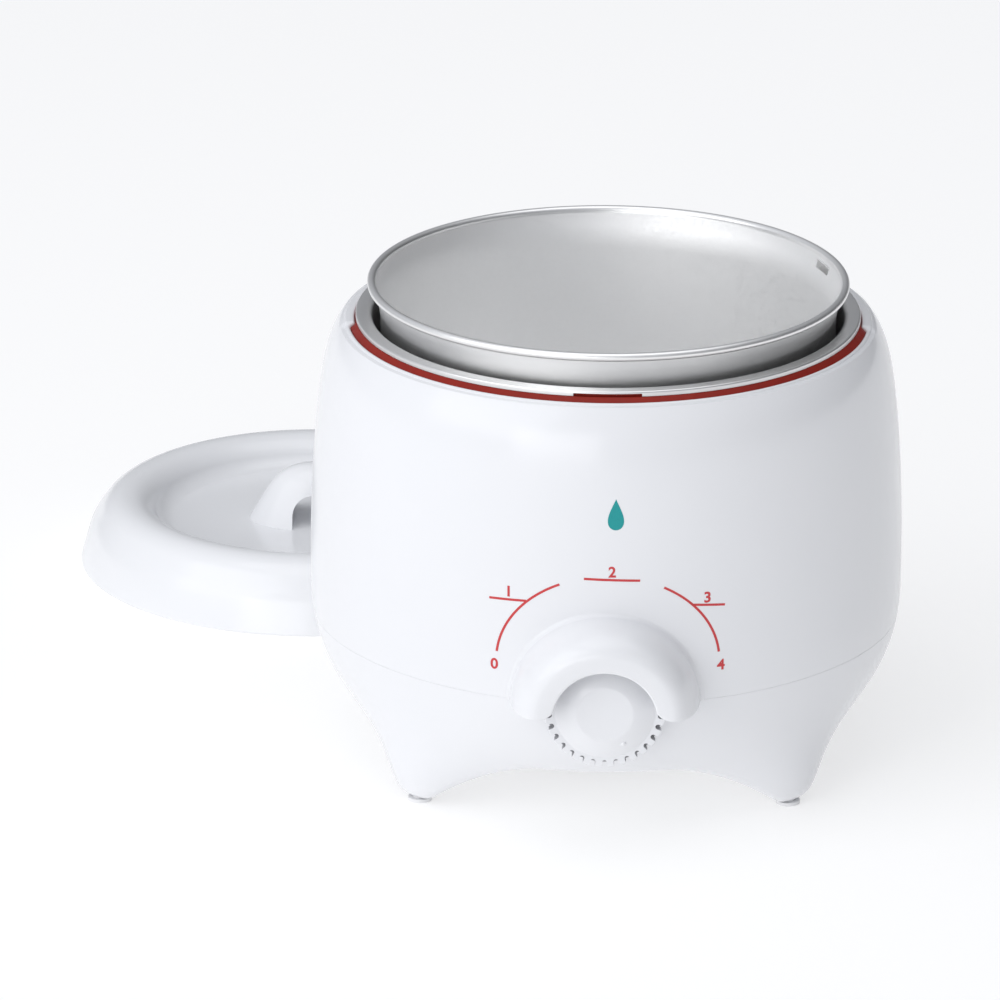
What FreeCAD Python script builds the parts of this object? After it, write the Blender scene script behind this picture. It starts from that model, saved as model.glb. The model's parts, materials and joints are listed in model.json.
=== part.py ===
"""A salon wax warmer: a two-shell housing on four feet, a heated well, a lift-out pot and a lid.

The frame: +Z up, the front with its dial towards -Y, the origin on the floor under the well's axis.
The lid stands on the floor behind and to the left. Millimetres throughout.
"""

import FreeCAD, Part

import math
import os

import Sketcher

Vector = FreeCAD.Vector
Rotation = FreeCAD.Rotation

doc = FreeCAD.newDocument("wax_warmer")
sheet = doc.addObject("Spreadsheet::Sheet", "Sizes")
nodes = []


# ---------------------------------------------------------------- sizes


class Size:
    """A number together with the sheet expression that gives it."""

    def __init__(self, value, text):
        self.value = float(value)
        self.text = text

    def __add__(self, other):
        other = as_size(other)
        return Size(self.value + other.value, f"({self.text} + {other.text})")

    def __sub__(self, other):
        other = as_size(other)
        return Size(self.value - other.value, f"({self.text} - {other.text})")

    def __mul__(self, other):
        other = as_size(other)
        return Size(self.value * other.value, f"({self.text} * {other.text})")

    def __truediv__(self, other):
        other = as_size(other)
        return Size(self.value / other.value, f"({self.text} / {other.text})")

    def __neg__(self):
        return Size(-self.value, f"(-1 * {self.text})")

    __radd__ = __add__
    __rmul__ = __mul__

    def __rsub__(self, other):
        return as_size(other) - self


def as_size(number):
    if isinstance(number, Size):
        return number
    return Size(number, f"({float(number):.6f})")


def driving(name, value):
    """Write one driving dimension in the sheet and give it back as a Size."""
    driving.row += 1
    cell = f"B{driving.row}"
    sheet.set(f"A{driving.row}", name)
    sheet.set(cell, str(value))
    sheet.setAlias(cell, name)
    return Size(value, f"Sizes.{name}")


driving.row = 0

# housing
belly_radius = driving("belly_radius", 85.0)
belly_height = driving("belly_height", 53.0)
crest_radius = driving("crest_radius", 75.4)
crest_height = driving("crest_height", 127.8)
opening_radius = driving("opening_radius", 73.9)
shell_wall = driving("shell_wall", 2.6)
seam_height = driving("seam_height", 41.4)
floor_height = driving("floor_height", 15.3)
floor_thickness = driving("floor_thickness", 2.4)
arch_foot_reach = driving("arch_foot_reach", 48.4)
arch_flat_reach = driving("arch_flat_reach", 21.0)
shelf_height = driving("shelf_height", 125.0)
shelf_thickness = driving("shelf_thickness", 2.4)
foot_pad_radius = driving("foot_pad_radius", 3.4)
foot_pad_thickness = driving("foot_pad_thickness", 1.0)
foot_circle_radius = driving("foot_circle_radius", 74.0)
screw_circle_radius = driving("screw_circle_radius", 61.5)
post_radius = driving("post_radius", 4.4)
pilot_radius = driving("pilot_radius", 1.45)
screw_shank_radius = driving("screw_shank_radius", 1.35)
screw_head_radius = driving("screw_head_radius", 2.9)

# dial hood and knob
knob_radius = driving("knob_radius", 17.2)
knob_back = driving("knob_back", 85.5)
knob_rim_depth = driving("knob_rim_depth", 3.5)
knob_boss_depth = driving("knob_boss_depth", 3.6)
knob_boss_radius = driving("knob_boss_radius", 14.2)
knob_slot_width = driving("knob_slot_width", 1.5)
knob_slot_length = driving("knob_slot_length", 2.3)
knob_face_radius = driving("knob_face_radius", 7.9)
hood_outer_radius = driving("hood_outer_radius", 27.2)
hood_face_radius = driving("hood_face_radius", 19.0)
hood_mouth_radius = driving("hood_mouth_radius", 14.5)
hood_front = driving("hood_front", 99.4)
hood_wall = driving("hood_wall", 2.4)
bush_seat_depth = driving("bush_seat_depth", 79.0)
spindle_radius = driving("spindle_radius", 3.0)
running_gap = driving("running_gap", 0.05)

# well, pot and gasket
well_inner_radius = driving("well_inner_radius", 67.3)
sheet_metal = driving("sheet_metal", 0.8)
flange_radius = driving("flange_radius", 72.05)
flange_height = driving("flange_height", 129.7)
well_floor_height = driving("well_floor_height", 69.0)
pot_radius = driving("pot_radius", 65.0)
pot_wall = driving("pot_wall", 1.0)
pot_clearance = driving("pot_clearance", 0.4)
pot_bead_circle = driving("pot_bead_circle", 67.57)
pot_bead_radius = driving("pot_bead_radius", 1.2)
pot_bead_height = driving("pot_bead_height", 138.3)

# lid
lid_radius = driving("lid_radius", 71.2)
lid_height = driving("lid_height", 20.8)
lid_wall = driving("lid_wall", 2.0)
lid_dish_height = driving("lid_dish_height", 12.6)
lid_dish_radius = driving("lid_dish_radius", 46.0)
lid_x = driving("lid_x", -88.8)
lid_y = driving("lid_y", 150.3)
handle_half_length = driving("handle_half_length", 19.8)
handle_half_width = driving("handle_half_width", 12.8)
handle_rise = driving("handle_rise", 17.6)
handle_tunnel_radius = driving("handle_tunnel_radius", 6.4)
handle_tunnel_rise = driving("handle_tunnel_rise", 10.0)

# electrics
lead_radius = driving("lead_radius", 1.2)
inlet_height = driving("inlet_height", 45.0)
inlet_width = driving("inlet_width", 27.0)
inlet_tall = driving("inlet_tall", 19.6)
inlet_face = driving("inlet_face", 86.0)
bar_height = driving("bar_height", 56.0)

doc.recompute()


# ---------------------------------------------------------------- building blocks


def bind(thing, **sizes):
    """Bind plain properties, such as Radius, to sheet expressions."""
    for name, size in sizes.items():
        thing.setExpression(name, as_size(size).text)


def place(thing, x=0, y=0, z=0, turn=None):
    """Bind a thing's position to the sheet, after turning it by a Rotation."""
    thing.Placement = FreeCAD.Placement(Vector(), turn or Rotation())
    for axis, size in zip("xyz", (x, y, z)):
        thing.setExpression(f"Placement.Base.{axis}", as_size(size).text)
    return thing


FACING_FRONT = Rotation(Vector(1, 0, 0), 90)
FACING_BACK = Rotation(Vector(1, 0, 0), -90)


def cylinder(name, radius, height, x=0, y=0, z=0, turn=None):
    thing = doc.addObject("Part::Cylinder", name)
    bind(thing, Radius=radius, Height=height)
    return place(thing, x, y, z, turn)


def box(name, length, width, height, x=0, y=0, z=0):
    """A box centred on x and y that stands on z."""
    thing = doc.addObject("Part::Box", name)
    bind(thing, Length=length, Width=width, Height=height)
    return place(thing, as_size(x) - as_size(length) / 2, as_size(y) - as_size(width) / 2, z)


def hexagon(name, across_corners, height, x, y, z, turn=None):
    thing = doc.addObject("Part::Prism", name)
    thing.Polygon = 6
    bind(thing, Circumradius=across_corners / 2, Height=height)
    return place(thing, x, y, z, turn)


def fuse(name, things):
    thing = doc.addObject("Part::MultiFuse", name)
    thing.Shapes = things
    return thing


def group(name, things):
    """Separate solids that share one node."""
    thing = doc.addObject("Part::Compound", name)
    thing.Links = things
    return thing


def cut(name, base, tool):
    thing = doc.addObject("Part::Cut", name)
    thing.Base = base
    thing.Tool = tool
    return thing


def common(name, first, second):
    thing = doc.addObject("Part::Common", name)
    thing.Base = first
    thing.Tool = second
    return thing


def node(name, thing):
    """Name a finished sub-part; its Label is its file's name."""
    thing.Label = name
    nodes.append(thing)
    return thing


def origin_part(body, role):
    return next(f for f in body.Origin.OriginFeatures if f.Role == role)


def outline(body, name, plane, corners):
    """A closed sketch of straight lines, each corner bound to the sheet by two distances."""
    sketch = body.newObject("Sketcher::SketchObject", name)
    sketch.AttachmentSupport = [(origin_part(body, plane), "")]
    sketch.MapMode = "FlatFace"
    corners = [(as_size(u), as_size(v)) for u, v in corners]
    spots = [Vector(u.value, v.value, 0) for u, v in corners]
    count = len(spots)
    for i, spot in enumerate(spots):
        sketch.addGeometry(Part.LineSegment(spot, spots[(i + 1) % count]), False)
    for i in range(count):
        sketch.addConstraint(Sketcher.Constraint("Coincident", i, 2, (i + 1) % count, 1))
    for i, (u, v) in enumerate(corners):
        for kind, size, axis in (("DistanceX", u, -2), ("DistanceY", v, -1)):
            if abs(size.value) < 1e-9:
                sketch.addConstraint(Sketcher.Constraint("PointOnObject", i, 1, axis))
                continue
            datum = sketch.addConstraint(Sketcher.Constraint(kind, -1, 1, i, 1, size.value))
            sketch.setExpression(f"Constraints[{datum}]", size.text)
    return sketch


def turned(name, corners):
    """A body turned about Z from an outline of (radius, height) corners."""
    body = doc.addObject("PartDesign::Body", name)
    sketch = outline(body, f"{name}_outline", "XZ_Plane", corners)
    turn = body.newObject("PartDesign::Revolution", f"{name}_turn")
    turn.Profile = sketch
    turn.ReferenceAxis = (sketch, ["V_Axis"])
    turn.Angle = 360
    return body


def rounded(body, radius, rings):
    """Round a turned body's circular edges, each found by its (radius, height)."""
    doc.recompute()
    base = body.Tip
    wanted = [(as_size(r).value, as_size(z).value) for r, z in rings]
    names = []
    for number, edge in enumerate(base.Shape.Edges, 1):
        curve = edge.Curve
        if not isinstance(curve, Part.Circle):
            continue
        for r, z in wanted:
            if abs(curve.Radius - r) < 0.01 and abs(curve.Center.z - z) < 0.01:
                names.append(f"Edge{number}")
    if len(names) != len(wanted):
        raise ValueError(f"{body.Name}: found {len(names)} of {len(wanted)} edges to round")
    fillet = body.newObject("PartDesign::Fillet", f"{body.Name}_round_{len(body.Group)}")
    fillet.Base = (base, names)
    fillet.setExpression("Radius", as_size(radius).text)
    return body


def smooth_loop(points):
    """A closed smooth wire through the points."""
    curve = Part.BSplineCurve()
    curve.interpolate(points, PeriodicFlag=True)
    return Part.Wire(curve.toShape())


def at_angle(radius, degrees):
    """The x and y of a point on a circle, bound to the sheet."""
    angle = math.radians(degrees)
    return as_size(radius) * math.cos(angle), as_size(radius) * math.sin(angle)


SCREW_ANGLES = (20, 160, 200, 340)
FOOT_ANGLES = (45, 135, 225, 315)


# ---------------------------------------------------------------- housing


def front_profile(z):
    """The housing's radius straight ahead and to the sides: a belly that tucks in at the foot."""
    reach = belly_radius.value
    if z < belly_height.value:
        drop = (belly_height.value - z) / belly_height.value
        return reach - 34.7 * drop**2.6
    rise = (z - belly_height.value) / (crest_height.value - belly_height.value)
    return reach - 5.7 * rise**2.4 - (reach - 5.7 - crest_radius.value) * rise**14


def diagonal_profile(z):
    """The housing's radius over a foot, which hardly tucks in."""
    if z >= belly_height.value:
        return front_profile(z)
    drop = (belly_height.value - z) / belly_height.value
    knee = min(drop / 0.7, 1.0)
    return belly_radius.value - 4.9 * knee**2 * (3 - 2 * knee) - 4.1 * drop**14


def outer_section(z):
    """One level outline: a circle at the belly that draws out into four lobes towards the feet."""
    sharpness = 5.9 - 2.2 * min(z / 30.0, 1.0)
    near = front_profile(z)
    far = diagonal_profile(z)
    points = []
    for step in range(48):
        angle = 2 * math.pi * step / 48
        radius = near + (far - near) * abs(math.sin(2 * angle)) ** sharpness
        points.append(Vector(radius * math.cos(angle), radius * math.sin(angle), z))
    return smooth_loop(points)


def outer_form():
    """The housing's outside as one smooth closed loft, from the foot pads to the rim's crest."""
    bottom = foot_pad_thickness.value
    levels = [bottom, 4, 8, 13, 19, 26, 33, 41, 53, 70, 88, 104, 116, 122.5, 125.8]
    sections = [outer_section(z) for z in levels + [crest_height.value]]
    form = doc.addObject("Part::Feature", "outer_form")
    form.Shape = Part.makeLoft(sections, True, False)
    form.Placement = FreeCAD.Placement()
    return form


def cavity():
    """The room inside both shells, with the shelf that carries the gasket at its top."""
    inner = belly_radius - shell_wall
    shelf_under = shelf_height - shelf_thickness
    return turned(
        "cavity",
        [
            (0, floor_height + floor_thickness),
            (inner - 17.5, floor_height + floor_thickness),
            (inner - 8.5, 25),
            (inner - 3.6, 33),
            (inner - 0.8, seam_height),
            (inner, belly_height),
            (inner - 0.4, 75),
            (inner - 1.9, 100),
            (inner - 5.4, shelf_under - 2),
            (inner - 7.4, shelf_under),
            (well_inner_radius + sheet_metal + 0.4, shelf_under),
            (well_inner_radius + sheet_metal + 0.4, shelf_height),
            (opening_radius, shelf_height),
            (opening_radius, crest_height + 5),
            (0, crest_height + 5),
        ],
    )


def arch_cutter(name, turn):
    """The low arch under the housing between two feet, right through from side to side."""
    body = doc.addObject("PartDesign::Body", name)
    half = [
        (arch_foot_reach + 1.2, -2),
        (arch_foot_reach, foot_pad_thickness),
        (arch_foot_reach - 4.2, 5.6),
        (arch_flat_reach + 14, floor_height - 5.1),
        (arch_flat_reach + 7, floor_height - 1.7),
        (arch_flat_reach, floor_height),
    ]
    mirrored = [(-as_size(u), v) for u, v in reversed(half)]
    sketch = outline(body, f"{name}_outline", "XZ_Plane", half + mirrored)
    pad = body.newObject("PartDesign::Pad", f"{name}_pad")
    pad.Profile = sketch
    pad.SideType = "Symmetric"
    pad.setExpression("Length", (belly_radius * 2.4).text)
    return place(body, turn=turn)


def hood_ring():
    """The hood's full ring about the knob's axis, hollow where the knob's rim runs."""
    pocket = knob_radius + 0.9
    pocket_front = hood_front - hood_wall
    wall_depth = belly_radius - 6
    ring = turned(
        "hood_ring",
        [
            (pocket, wall_depth),
            (hood_outer_radius, wall_depth),
            (hood_outer_radius, knob_back - 1.5),
            (hood_outer_radius - 0.9, knob_back + 3.5),
            (hood_outer_radius - 2.9, hood_front - 4.9),
            (hood_face_radius + 2.8, hood_front - 1.4),
            (hood_face_radius, hood_front),
            (hood_mouth_radius, hood_front),
            (hood_mouth_radius, pocket_front),
            (pocket, pocket_front),
        ],
    )
    return place(ring, z=seam_height, turn=FACING_FRONT)


def hood_form():
    """The upper half of the ring, which covers the knob's upper half and ends at the seam."""
    return common("hood", hood_ring(), box("hood_half", 80, 80, 60, 0, -90, seam_height))


def inlet_pad():
    """The flat pad that the power inlet is let into, at the back."""
    return box("inlet_pad", 36, 12, 26, 0, inlet_face - 6, inlet_height - 13)


def wall_holes():
    """The inlet's window at the back and the thermostat's bush hole at the front."""
    window_low = inlet_height - inlet_tall / 2 - 0.2
    window = box("inlet_window", inlet_width + 0.4, 30, inlet_tall + 0.4, 0, 80, window_low)
    bush_hole = cylinder("bush_hole", 4.9, 30, 0, -70, seam_height, FACING_FRONT)
    return [window, bush_hole]


def post(name, radius, x, y, z_low, z_high):
    return cylinder(name, radius, as_size(z_high) - z_low, x, y, z_low)


def on_screw_circle(name, radius, z_low, z_high):
    """The same upright cylinder at each of the four shell screws."""
    return [
        post(f"{name}_{i}", radius, *at_angle(screw_circle_radius, angle), z_low, z_high)
        for i, angle in enumerate(SCREW_ANGLES)
    ]


def radial_rib(name, angle, reach_in, reach_out, thickness, z_low, z_high):
    """A wall that runs out from the well's axis at one angle."""
    rib = doc.addObject("Part::Box", name)
    bind(rib, Length=as_size(reach_out) - reach_in, Width=thickness, Height=as_size(z_high) - z_low)
    x, y = at_angle(reach_in, angle)
    side_x, side_y = at_angle(as_size(thickness) / 2, angle + 90)
    return place(rib, x - side_x, y - side_y, z_low, Rotation(Vector(0, 0, 1), angle))


def bush_seat():
    """The flat seat inside the front wall that the thermostat's collar clamps against."""
    return cylinder("bush_seat", 8.0, 4.6, 0, -bush_seat_depth, seam_height, FACING_FRONT)


def housing_form():
    """Both shells in one: outside, hood and inlet pad, less the cavity, arches and windows."""
    solid = fuse("solid_form", [outer_form(), hood_form(), inlet_pad()])
    hollow = fuse("hollow_form", [cut("emptied_form", solid, cavity()), bush_seat()])
    arches = fuse(
        "arches",
        [arch_cutter("arch_front", None), arch_cutter("arch_side", Rotation(Vector(0, 0, 1), 90))],
    )
    arched = cut("arched_form", hollow, arches)
    return cut("open_form", arched, fuse("wall_holes", wall_holes()))


def base_shell(form):
    """The lower moulding: four feet, a vented floor and posts for the shell screws."""
    below = box("below_seam", 200, 240, seam_height + 5, 0, 0, -5)
    lower = common("lower_form", form, below)
    floor_top = floor_height + floor_thickness
    posts = on_screw_circle("base_post", post_radius, floor_top - 1, seam_height)
    holes = on_screw_circle("base_hole", screw_shank_radius + 0.25, -5, seam_height + 1)
    holes += on_screw_circle("head_hole", screw_head_radius + 0.3, -5, floor_top)
    for i, angle in enumerate(FOOT_ANGLES):
        x, y = at_angle(foot_circle_radius, angle)
        holes.append(post(f"pad_hole_{i}", 2.05, x, y, 0, 9))
    for i in range(-4, 5):
        slot_length = 46 - 3 * abs(i)
        holes.append(box(f"vent_{i + 4}", slot_length, 2.4, 8, 0, 7.5 * i, floor_height - 3))
    solid = fuse("base_solid", [lower] + posts)
    return node("base_shell", cut("base_shell_", solid, fuse("base_holes", holes)))


def upper_shell(form):
    """The upper moulding: the body, the rim, the dial hood, screw posts and two bar brackets."""
    above = box("above_seam", 200, 240, crest_height, 0, 0, seam_height)
    upper = common("upper_form", form, above)
    added = on_screw_circle("upper_post", post_radius, seam_height, 56)
    wall = belly_radius - 1
    for i, angle in enumerate(SCREW_ANGLES):
        added.append(radial_rib(f"post_rib_{i}", angle, screw_circle_radius + 2, wall, 2.4, seam_height, 56))
    for side, angle in (("right", 0), ("left", 180)):
        added.append(radial_rib(f"bar_bracket_{side}", angle, 70.5, wall, 12, 46, bar_height))
    holes = on_screw_circle("upper_pilot", pilot_radius, seam_height - 1, 53)
    for side in (-1, 1):
        holes.append(post(f"bar_pilot_{side + 1}", pilot_radius, 76 * side, 0, 47.5, bar_height + 1))
    solid = fuse("upper_solid", [upper] + added)
    return node("upper_shell", cut("upper_shell_", solid, fuse("upper_holes", holes)))


def shell_screws():
    """Four long screws, up through the base shell into the upper shell's posts."""
    shanks = on_screw_circle("shell_shank", screw_shank_radius, floor_height + floor_thickness - 0.2, 52)
    heads = on_screw_circle("shell_head", screw_head_radius, floor_height + 0.2, floor_height + 2.2)
    screws = [fuse(f"shell_screw_{i}", list(pair)) for i, pair in enumerate(zip(shanks, heads))]
    return node("shell_screws", group("shell_screws_", screws))


def foot_pads():
    """Four rubber pads, each held by a stem pressed up into its foot."""
    pads = []
    for i, angle in enumerate(FOOT_ANGLES):
        x, y = at_angle(foot_circle_radius, angle)
        pad = post(f"pad_disc_{i}", foot_pad_radius, x, y, 0, foot_pad_thickness)
        stem = post(f"pad_stem_{i}", 2.0, x, y, 0.5, 8.5)
        pads.append(fuse(f"foot_pad_{i}", [pad, stem]))
    return node("foot_pads", group("foot_pads_", pads))


# ---------------------------------------------------------------- well, gasket, heater and clamp


def heating_well():
    """The spun metal well: floor, wall, flat flange and a down-turned lip, notched at the front."""
    outside = well_inner_radius + sheet_metal
    under_floor = well_floor_height - sheet_metal
    under_flange = flange_height - sheet_metal
    lip_bottom = flange_height - 1.5
    spun = turned(
        "well_spun",
        [
            (0, under_floor),
            (outside - 2.0, under_floor),
            (outside, under_floor + 2.0),
            (outside, under_flange),
            (flange_radius - sheet_metal, under_flange),
            (flange_radius - sheet_metal, lip_bottom),
            (flange_radius, lip_bottom),
            (flange_radius, flange_height),
            (well_inner_radius, flange_height),
            (well_inner_radius, well_floor_height + 2.0),
            (well_inner_radius - 2.0, well_floor_height),
            (0, well_floor_height),
        ],
    )
    notch = box("lip_notch", 19.2, 4, 1, 0, -flange_radius, under_flange - 1)
    return node("heating_well", cut("heating_well_", spun, notch))


def rim_gasket():
    """The red silicone ring that seals the well's flange to the housing's shelf."""
    inside = well_inner_radius + sheet_metal + 0.5
    under_lip = flange_height - 1.6
    return node(
        "rim_gasket",
        turned(
            "rim_gasket_",
            [
                (inside, shelf_height),
                (opening_radius - 0.1, shelf_height),
                (opening_radius - 0.1, crest_height - 0.7),
                (flange_radius + 0.2, under_lip),
                (flange_radius - sheet_metal - 0.1, under_lip),
                (flange_radius - sheet_metal - 0.1, flange_height - sheet_metal),
                (inside, flange_height - sheet_metal),
            ],
        ),
    )


def ring_sleeve(name, inner, outer, z_low, z_high):
    hole = post(f"{name}_hole", inner, 0, 0, as_size(z_low) - 1, as_size(z_high) + 1)
    return cut(f"{name}_ring", post(f"{name}_outside", outer, 0, 0, z_low, z_high), hole)


def band_heater():
    """The mica band round the well, split at the back."""
    well_outside = well_inner_radius + sheet_metal
    ring = ring_sleeve("band", well_outside + 0.1, well_outside + 1.9, 84, 114)
    split = box("band_split", 3, 8, 60, 0, 70, 70)
    return node("band_heater", cut("band_heater_", ring, split))


def heater_terminals():
    """Two blocks where the leads meet the band's element."""
    near = box("fuse_side_terminal", 5, 3, 13, 12, 71.6, 74)
    far = box("neutral_terminal", 5, 3, 8, 24, 68.9, 79)
    return node("heater_terminals", group("heater_terminals_", [near, far]))


def insulation():
    """A glass-felt sleeve round the band and a pad under the well's floor."""
    node("insulation_sleeve", ring_sleeve("sleeve", 71.0, 74.6, 88, 118))
    pad = ring_sleeve("floor_pad", 3.6, 64, 62, well_floor_height - sheet_metal - 0.2)
    node("insulation_pad", pad)


def clamp():
    """The stud, bar, nut and screws that pull the well down onto its gasket."""
    stud_top = well_floor_height - sheet_metal
    node("well_stud", post("well_stud_", 3.0, 0, 0, 50.5, stud_top))
    bar = box("bar_blank", 156, 12, 2, 0, 0, bar_height)
    holes = [post("bar_middle", 3.3, 0, 0, bar_height - 1, bar_height + 3)]
    heads = []
    shanks = []
    for side in (-1, 1):
        holes.append(post(f"bar_end_{side + 1}", 1.6, 76 * side, 0, bar_height - 1, bar_height + 3))
        head = (bar_height + 2, bar_height + 4)
        heads.append(post(f"bar_head_{side + 1}", screw_head_radius, 76 * side, 0, *head))
        shanks.append(post(f"bar_shank_{side + 1}", screw_shank_radius, 76 * side, 0, 48.5, bar_height + 2.5))
    node("clamp_bar", cut("clamp_bar_", bar, fuse("bar_holes", holes)))
    screws = [fuse(f"bar_screw_{i}", list(pair)) for i, pair in enumerate(zip(heads, shanks))]
    node("clamp_bar_screws", group("clamp_bar_screws_", screws))
    nut = hexagon("nut_blank", 11.0, 3, 0, 0, bar_height - 3.8)
    node("clamp_nut", cut("clamp_nut_", nut, post("nut_hole", 3.02, 0, 0, 50, 58)))
    ring = post("tag_ring", 5.0, 0, 0, bar_height - 0.8, bar_height)
    tail = box("tag_tail", 4, 10, 0.8, 0, 5, bar_height - 0.8)
    tag = cut("earth_tag_", fuse("tag_blank", [ring, tail]), post("tag_hole", 3.2, 0, 0, 50, 58))
    node("earth_tag", tag)


def thermal_fuse():
    """The one-shot fuse against the well's wall, and the strap that holds it."""
    node("thermal_fuse", cylinder("thermal_fuse_", 2.0, 15.5, -6, 71.2, 75.5, Rotation(Vector(0, 1, 0), 90)))
    strap = box("strap_blank", 4, 6.2, 6, 0, 71.4, 72.5)
    around = cylinder("strap_hole", 2.05, 10, -5, 71.2, 75.5, Rotation(Vector(0, 1, 0), 90))
    off_well = post("strap_clearance", well_inner_radius + sheet_metal + 0.05, 0, 0, 70, 82)
    node("fuse_clip", cut("fuse_clip_", strap, fuse("strap_cuts", [around, off_well])))


# ---------------------------------------------------------------- thermostat and knob


def thermostat():
    """The rotary thermostat behind the dial: bracket and bush, nut, body, blade and terminals."""
    plate_back = 76.4
    plate = box("bracket_plate", 22, 1.2, 20, 0, -77.0, 34)
    collar = cylinder("bracket_collar", 6.5, bush_seat_depth - 77, 0, -77, seam_height, FACING_FRONT)
    bush = cylinder("bracket_bush", 4.6, 10.2, 0, -77, seam_height, FACING_FRONT)
    bore = cylinder("bracket_bore", spindle_radius + running_gap, 20, 0, -74, seam_height, FACING_FRONT)
    node("thermostat_bracket", cut("thermostat_bracket_", fuse("bracket_blank", [plate, collar, bush]), bore))
    nut = hexagon("bush_nut_blank", 14.4, 1.9, 0, -85.1, seam_height, FACING_FRONT)
    nut_hole = cylinder("bush_nut_hole", 4.63, 10, 0, -80, seam_height, FACING_FRONT)
    node("thermostat_nut", cut("thermostat_nut_", nut, nut_hole))
    block = box("block_blank", 22, 14, 18, 0, -plate_back + 7, 35)
    bore_radius = spindle_radius + running_gap
    socket = cylinder("block_socket", bore_radius, 8, 0, -plate_back + 7, seam_height, FACING_FRONT)
    node("thermostat_body", cut("thermostat_body_", block, socket))
    node("thermostat_blade", box("thermostat_blade_", 7, 15, 0.7, 0, -plate_back + 8, 53))
    tabs = [box(f"thermostat_tab_{side + 1}", 5, 8.2, 0.8, 6 * side, -58.3, 44) for side in (-1, 1)]
    node("thermostat_terminals", group("thermostat_terminals_", tabs))


def thermostat_spindle():
    """The shaft that the knob turns."""
    reach = knob_back + knob_rim_depth + knob_boss_depth - 1.4
    shaft = cylinder("spindle_", spindle_radius, reach - 71, 0, -71, seam_height, FACING_FRONT)
    node("thermostat_spindle", shaft)


def knob():
    """The round knob: a rim of fine open slots and a domed boss with a flat face."""
    front = knob_rim_depth + knob_boss_depth
    bore = spindle_radius + running_gap
    body = turned(
        "knob_",
        [
            (9.2, 0),
            (knob_radius - 0.5, 0),
            (knob_radius, 0.5),
            (knob_radius, knob_rim_depth - 0.7),
            (knob_radius - 0.7, knob_rim_depth),
            (knob_boss_radius, knob_rim_depth),
            (knob_boss_radius - 1.3, knob_rim_depth + 1.0),
            (knob_boss_radius - 3.2, front - 0.8),
            (knob_face_radius, front),
            (0, front),
            (0, front - 1.2),
            (bore, front - 1.2),
            (bore, 2.0),
            (9.2, 2.0),
        ],
    )
    slot_floor = knob_radius - knob_slot_length
    past_rim = knob_radius + 1
    half = knob_slot_width / 2
    corners = [(slot_floor, -half), (past_rim, -half), (past_rim, half), (slot_floor, half)]
    slot = outline(body, "knob_slot", "XY_Plane", corners)
    cutter = body.newObject("PartDesign::Pocket", "knob_slot_cut")
    cutter.Profile = slot
    cutter.Type = "ThroughAll"
    cutter.Reversed = True
    doc.recompute()
    ring = body.newObject("PartDesign::PolarPattern", "knob_slots")
    ring.Originals = [cutter]
    ring.Axis = (origin_part(body, "Z_Axis"), [""])
    ring.Angle = 360
    ring.Occurrences = 30
    body.Tip = ring
    node("knob", place(body, 0, -knob_back, seam_height, FACING_FRONT))


# ---------------------------------------------------------------- power inlet and leads


def power_inlet():
    """A snap-in inlet with three blades, let into the pad at the back."""
    middle = inlet_height
    body = box("inlet_body", inlet_width, 22.4, inlet_tall, 0, inlet_face - 10.8, middle - inlet_tall / 2)
    flange = box("inlet_flange", 31, 2.4, 24, 0, inlet_face + 1.2, middle - 12)
    socket = box("inlet_socket", 23, 16, 15.6, 0, inlet_face + 2.4 - 7.9, middle - 7.8)
    blades = []
    for i, (x, z) in enumerate(((-7, -2), (0, 2), (7, -2))):
        blades.append(box(f"inlet_blade_{i}", 2, 24.4, 4, x, 72.2, middle + z - 2))
    shell = cut("inlet_shell", fuse("inlet_blank", [body, flange]), socket)
    node("power_inlet", cut("power_inlet_", shell, fuse("blade_slots", blades)))
    node("inlet_blades", group("inlet_blades_", blades))


def lead(name, points):
    """One insulated lead: straight runs joined by tangent arcs, swept with a circle."""
    points = [Vector(*p) for p in points]
    edges = []
    start = points[0]
    for before, corner, after in zip(points, points[1:], points[2:]):
        inward = (corner - before).normalize()
        outward = (after - corner).normalize()
        turn = inward.getAngle(outward)
        shorter = min((corner - before).Length, (after - corner).Length)
        back = 0.45 * shorter
        radius = back / math.tan(turn / 2)
        first = corner - inward * back
        last = corner + outward * back
        centre_way = (outward - inward).normalize()
        middle = corner + centre_way * (radius / math.cos(turn / 2) - radius)
        edges.append(Part.LineSegment(start, first).toShape())
        edges.append(Part.Arc(first, middle, last).toShape())
        start = last
    edges.append(Part.LineSegment(start, points[-1]).toShape())
    path = doc.addObject("Part::Feature", f"{name}_path")
    path.Shape = Part.Wire(edges)
    ring = doc.addObject("Part::Circle", f"{name}_section")
    bind(ring, Radius=lead_radius)
    ring.Placement = FreeCAD.Placement(points[0], Rotation(Vector(0, 0, 1), points[1] - points[0]))
    sweep = doc.addObject("Part::Sweep", f"{name}_")
    sweep.Sections = [ring]
    sweep.Spine = (path, [f"Edge{i + 1}" for i in range(len(edges))])
    sweep.Solid = True
    sweep.Frenet = True
    node(name, sweep)


def leads():
    """Live, switched live, neutral and earth, each from face to face."""
    lead(
        "live_lead",
        [(-7, 60, 43), (-7, 48, 43), (-28, 30, 34), (-28, -34, 34), (-6, -44, 44.4), (-6, -54.2, 44.4)],
    )
    lead(
        "switched_lead",
        [
            (6, -54.2, 44.4),
            (6, -44, 44.4),
            (20, -26, 50),
            (20, 16, 50),
            (-14, 40, 52),
            (-30, 58, 58),
            (-23, 67.2, 68),
            (-16, 71.2, 75.5),
            (-6, 71.2, 75.5),
        ],
    )
    lead(
        "neutral_lead",
        [(7, 60, 43), (7, 52, 43), (20, 50, 50), (25, 63, 60), (24, 68.9, 70), (24, 68.9, 79)],
    )
    lead("earth_lead", [(0, 60, 47), (0, 46, 47), (0, 32, 42), (0, 20, 55.6), (0, 10, 55.6)])


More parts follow.
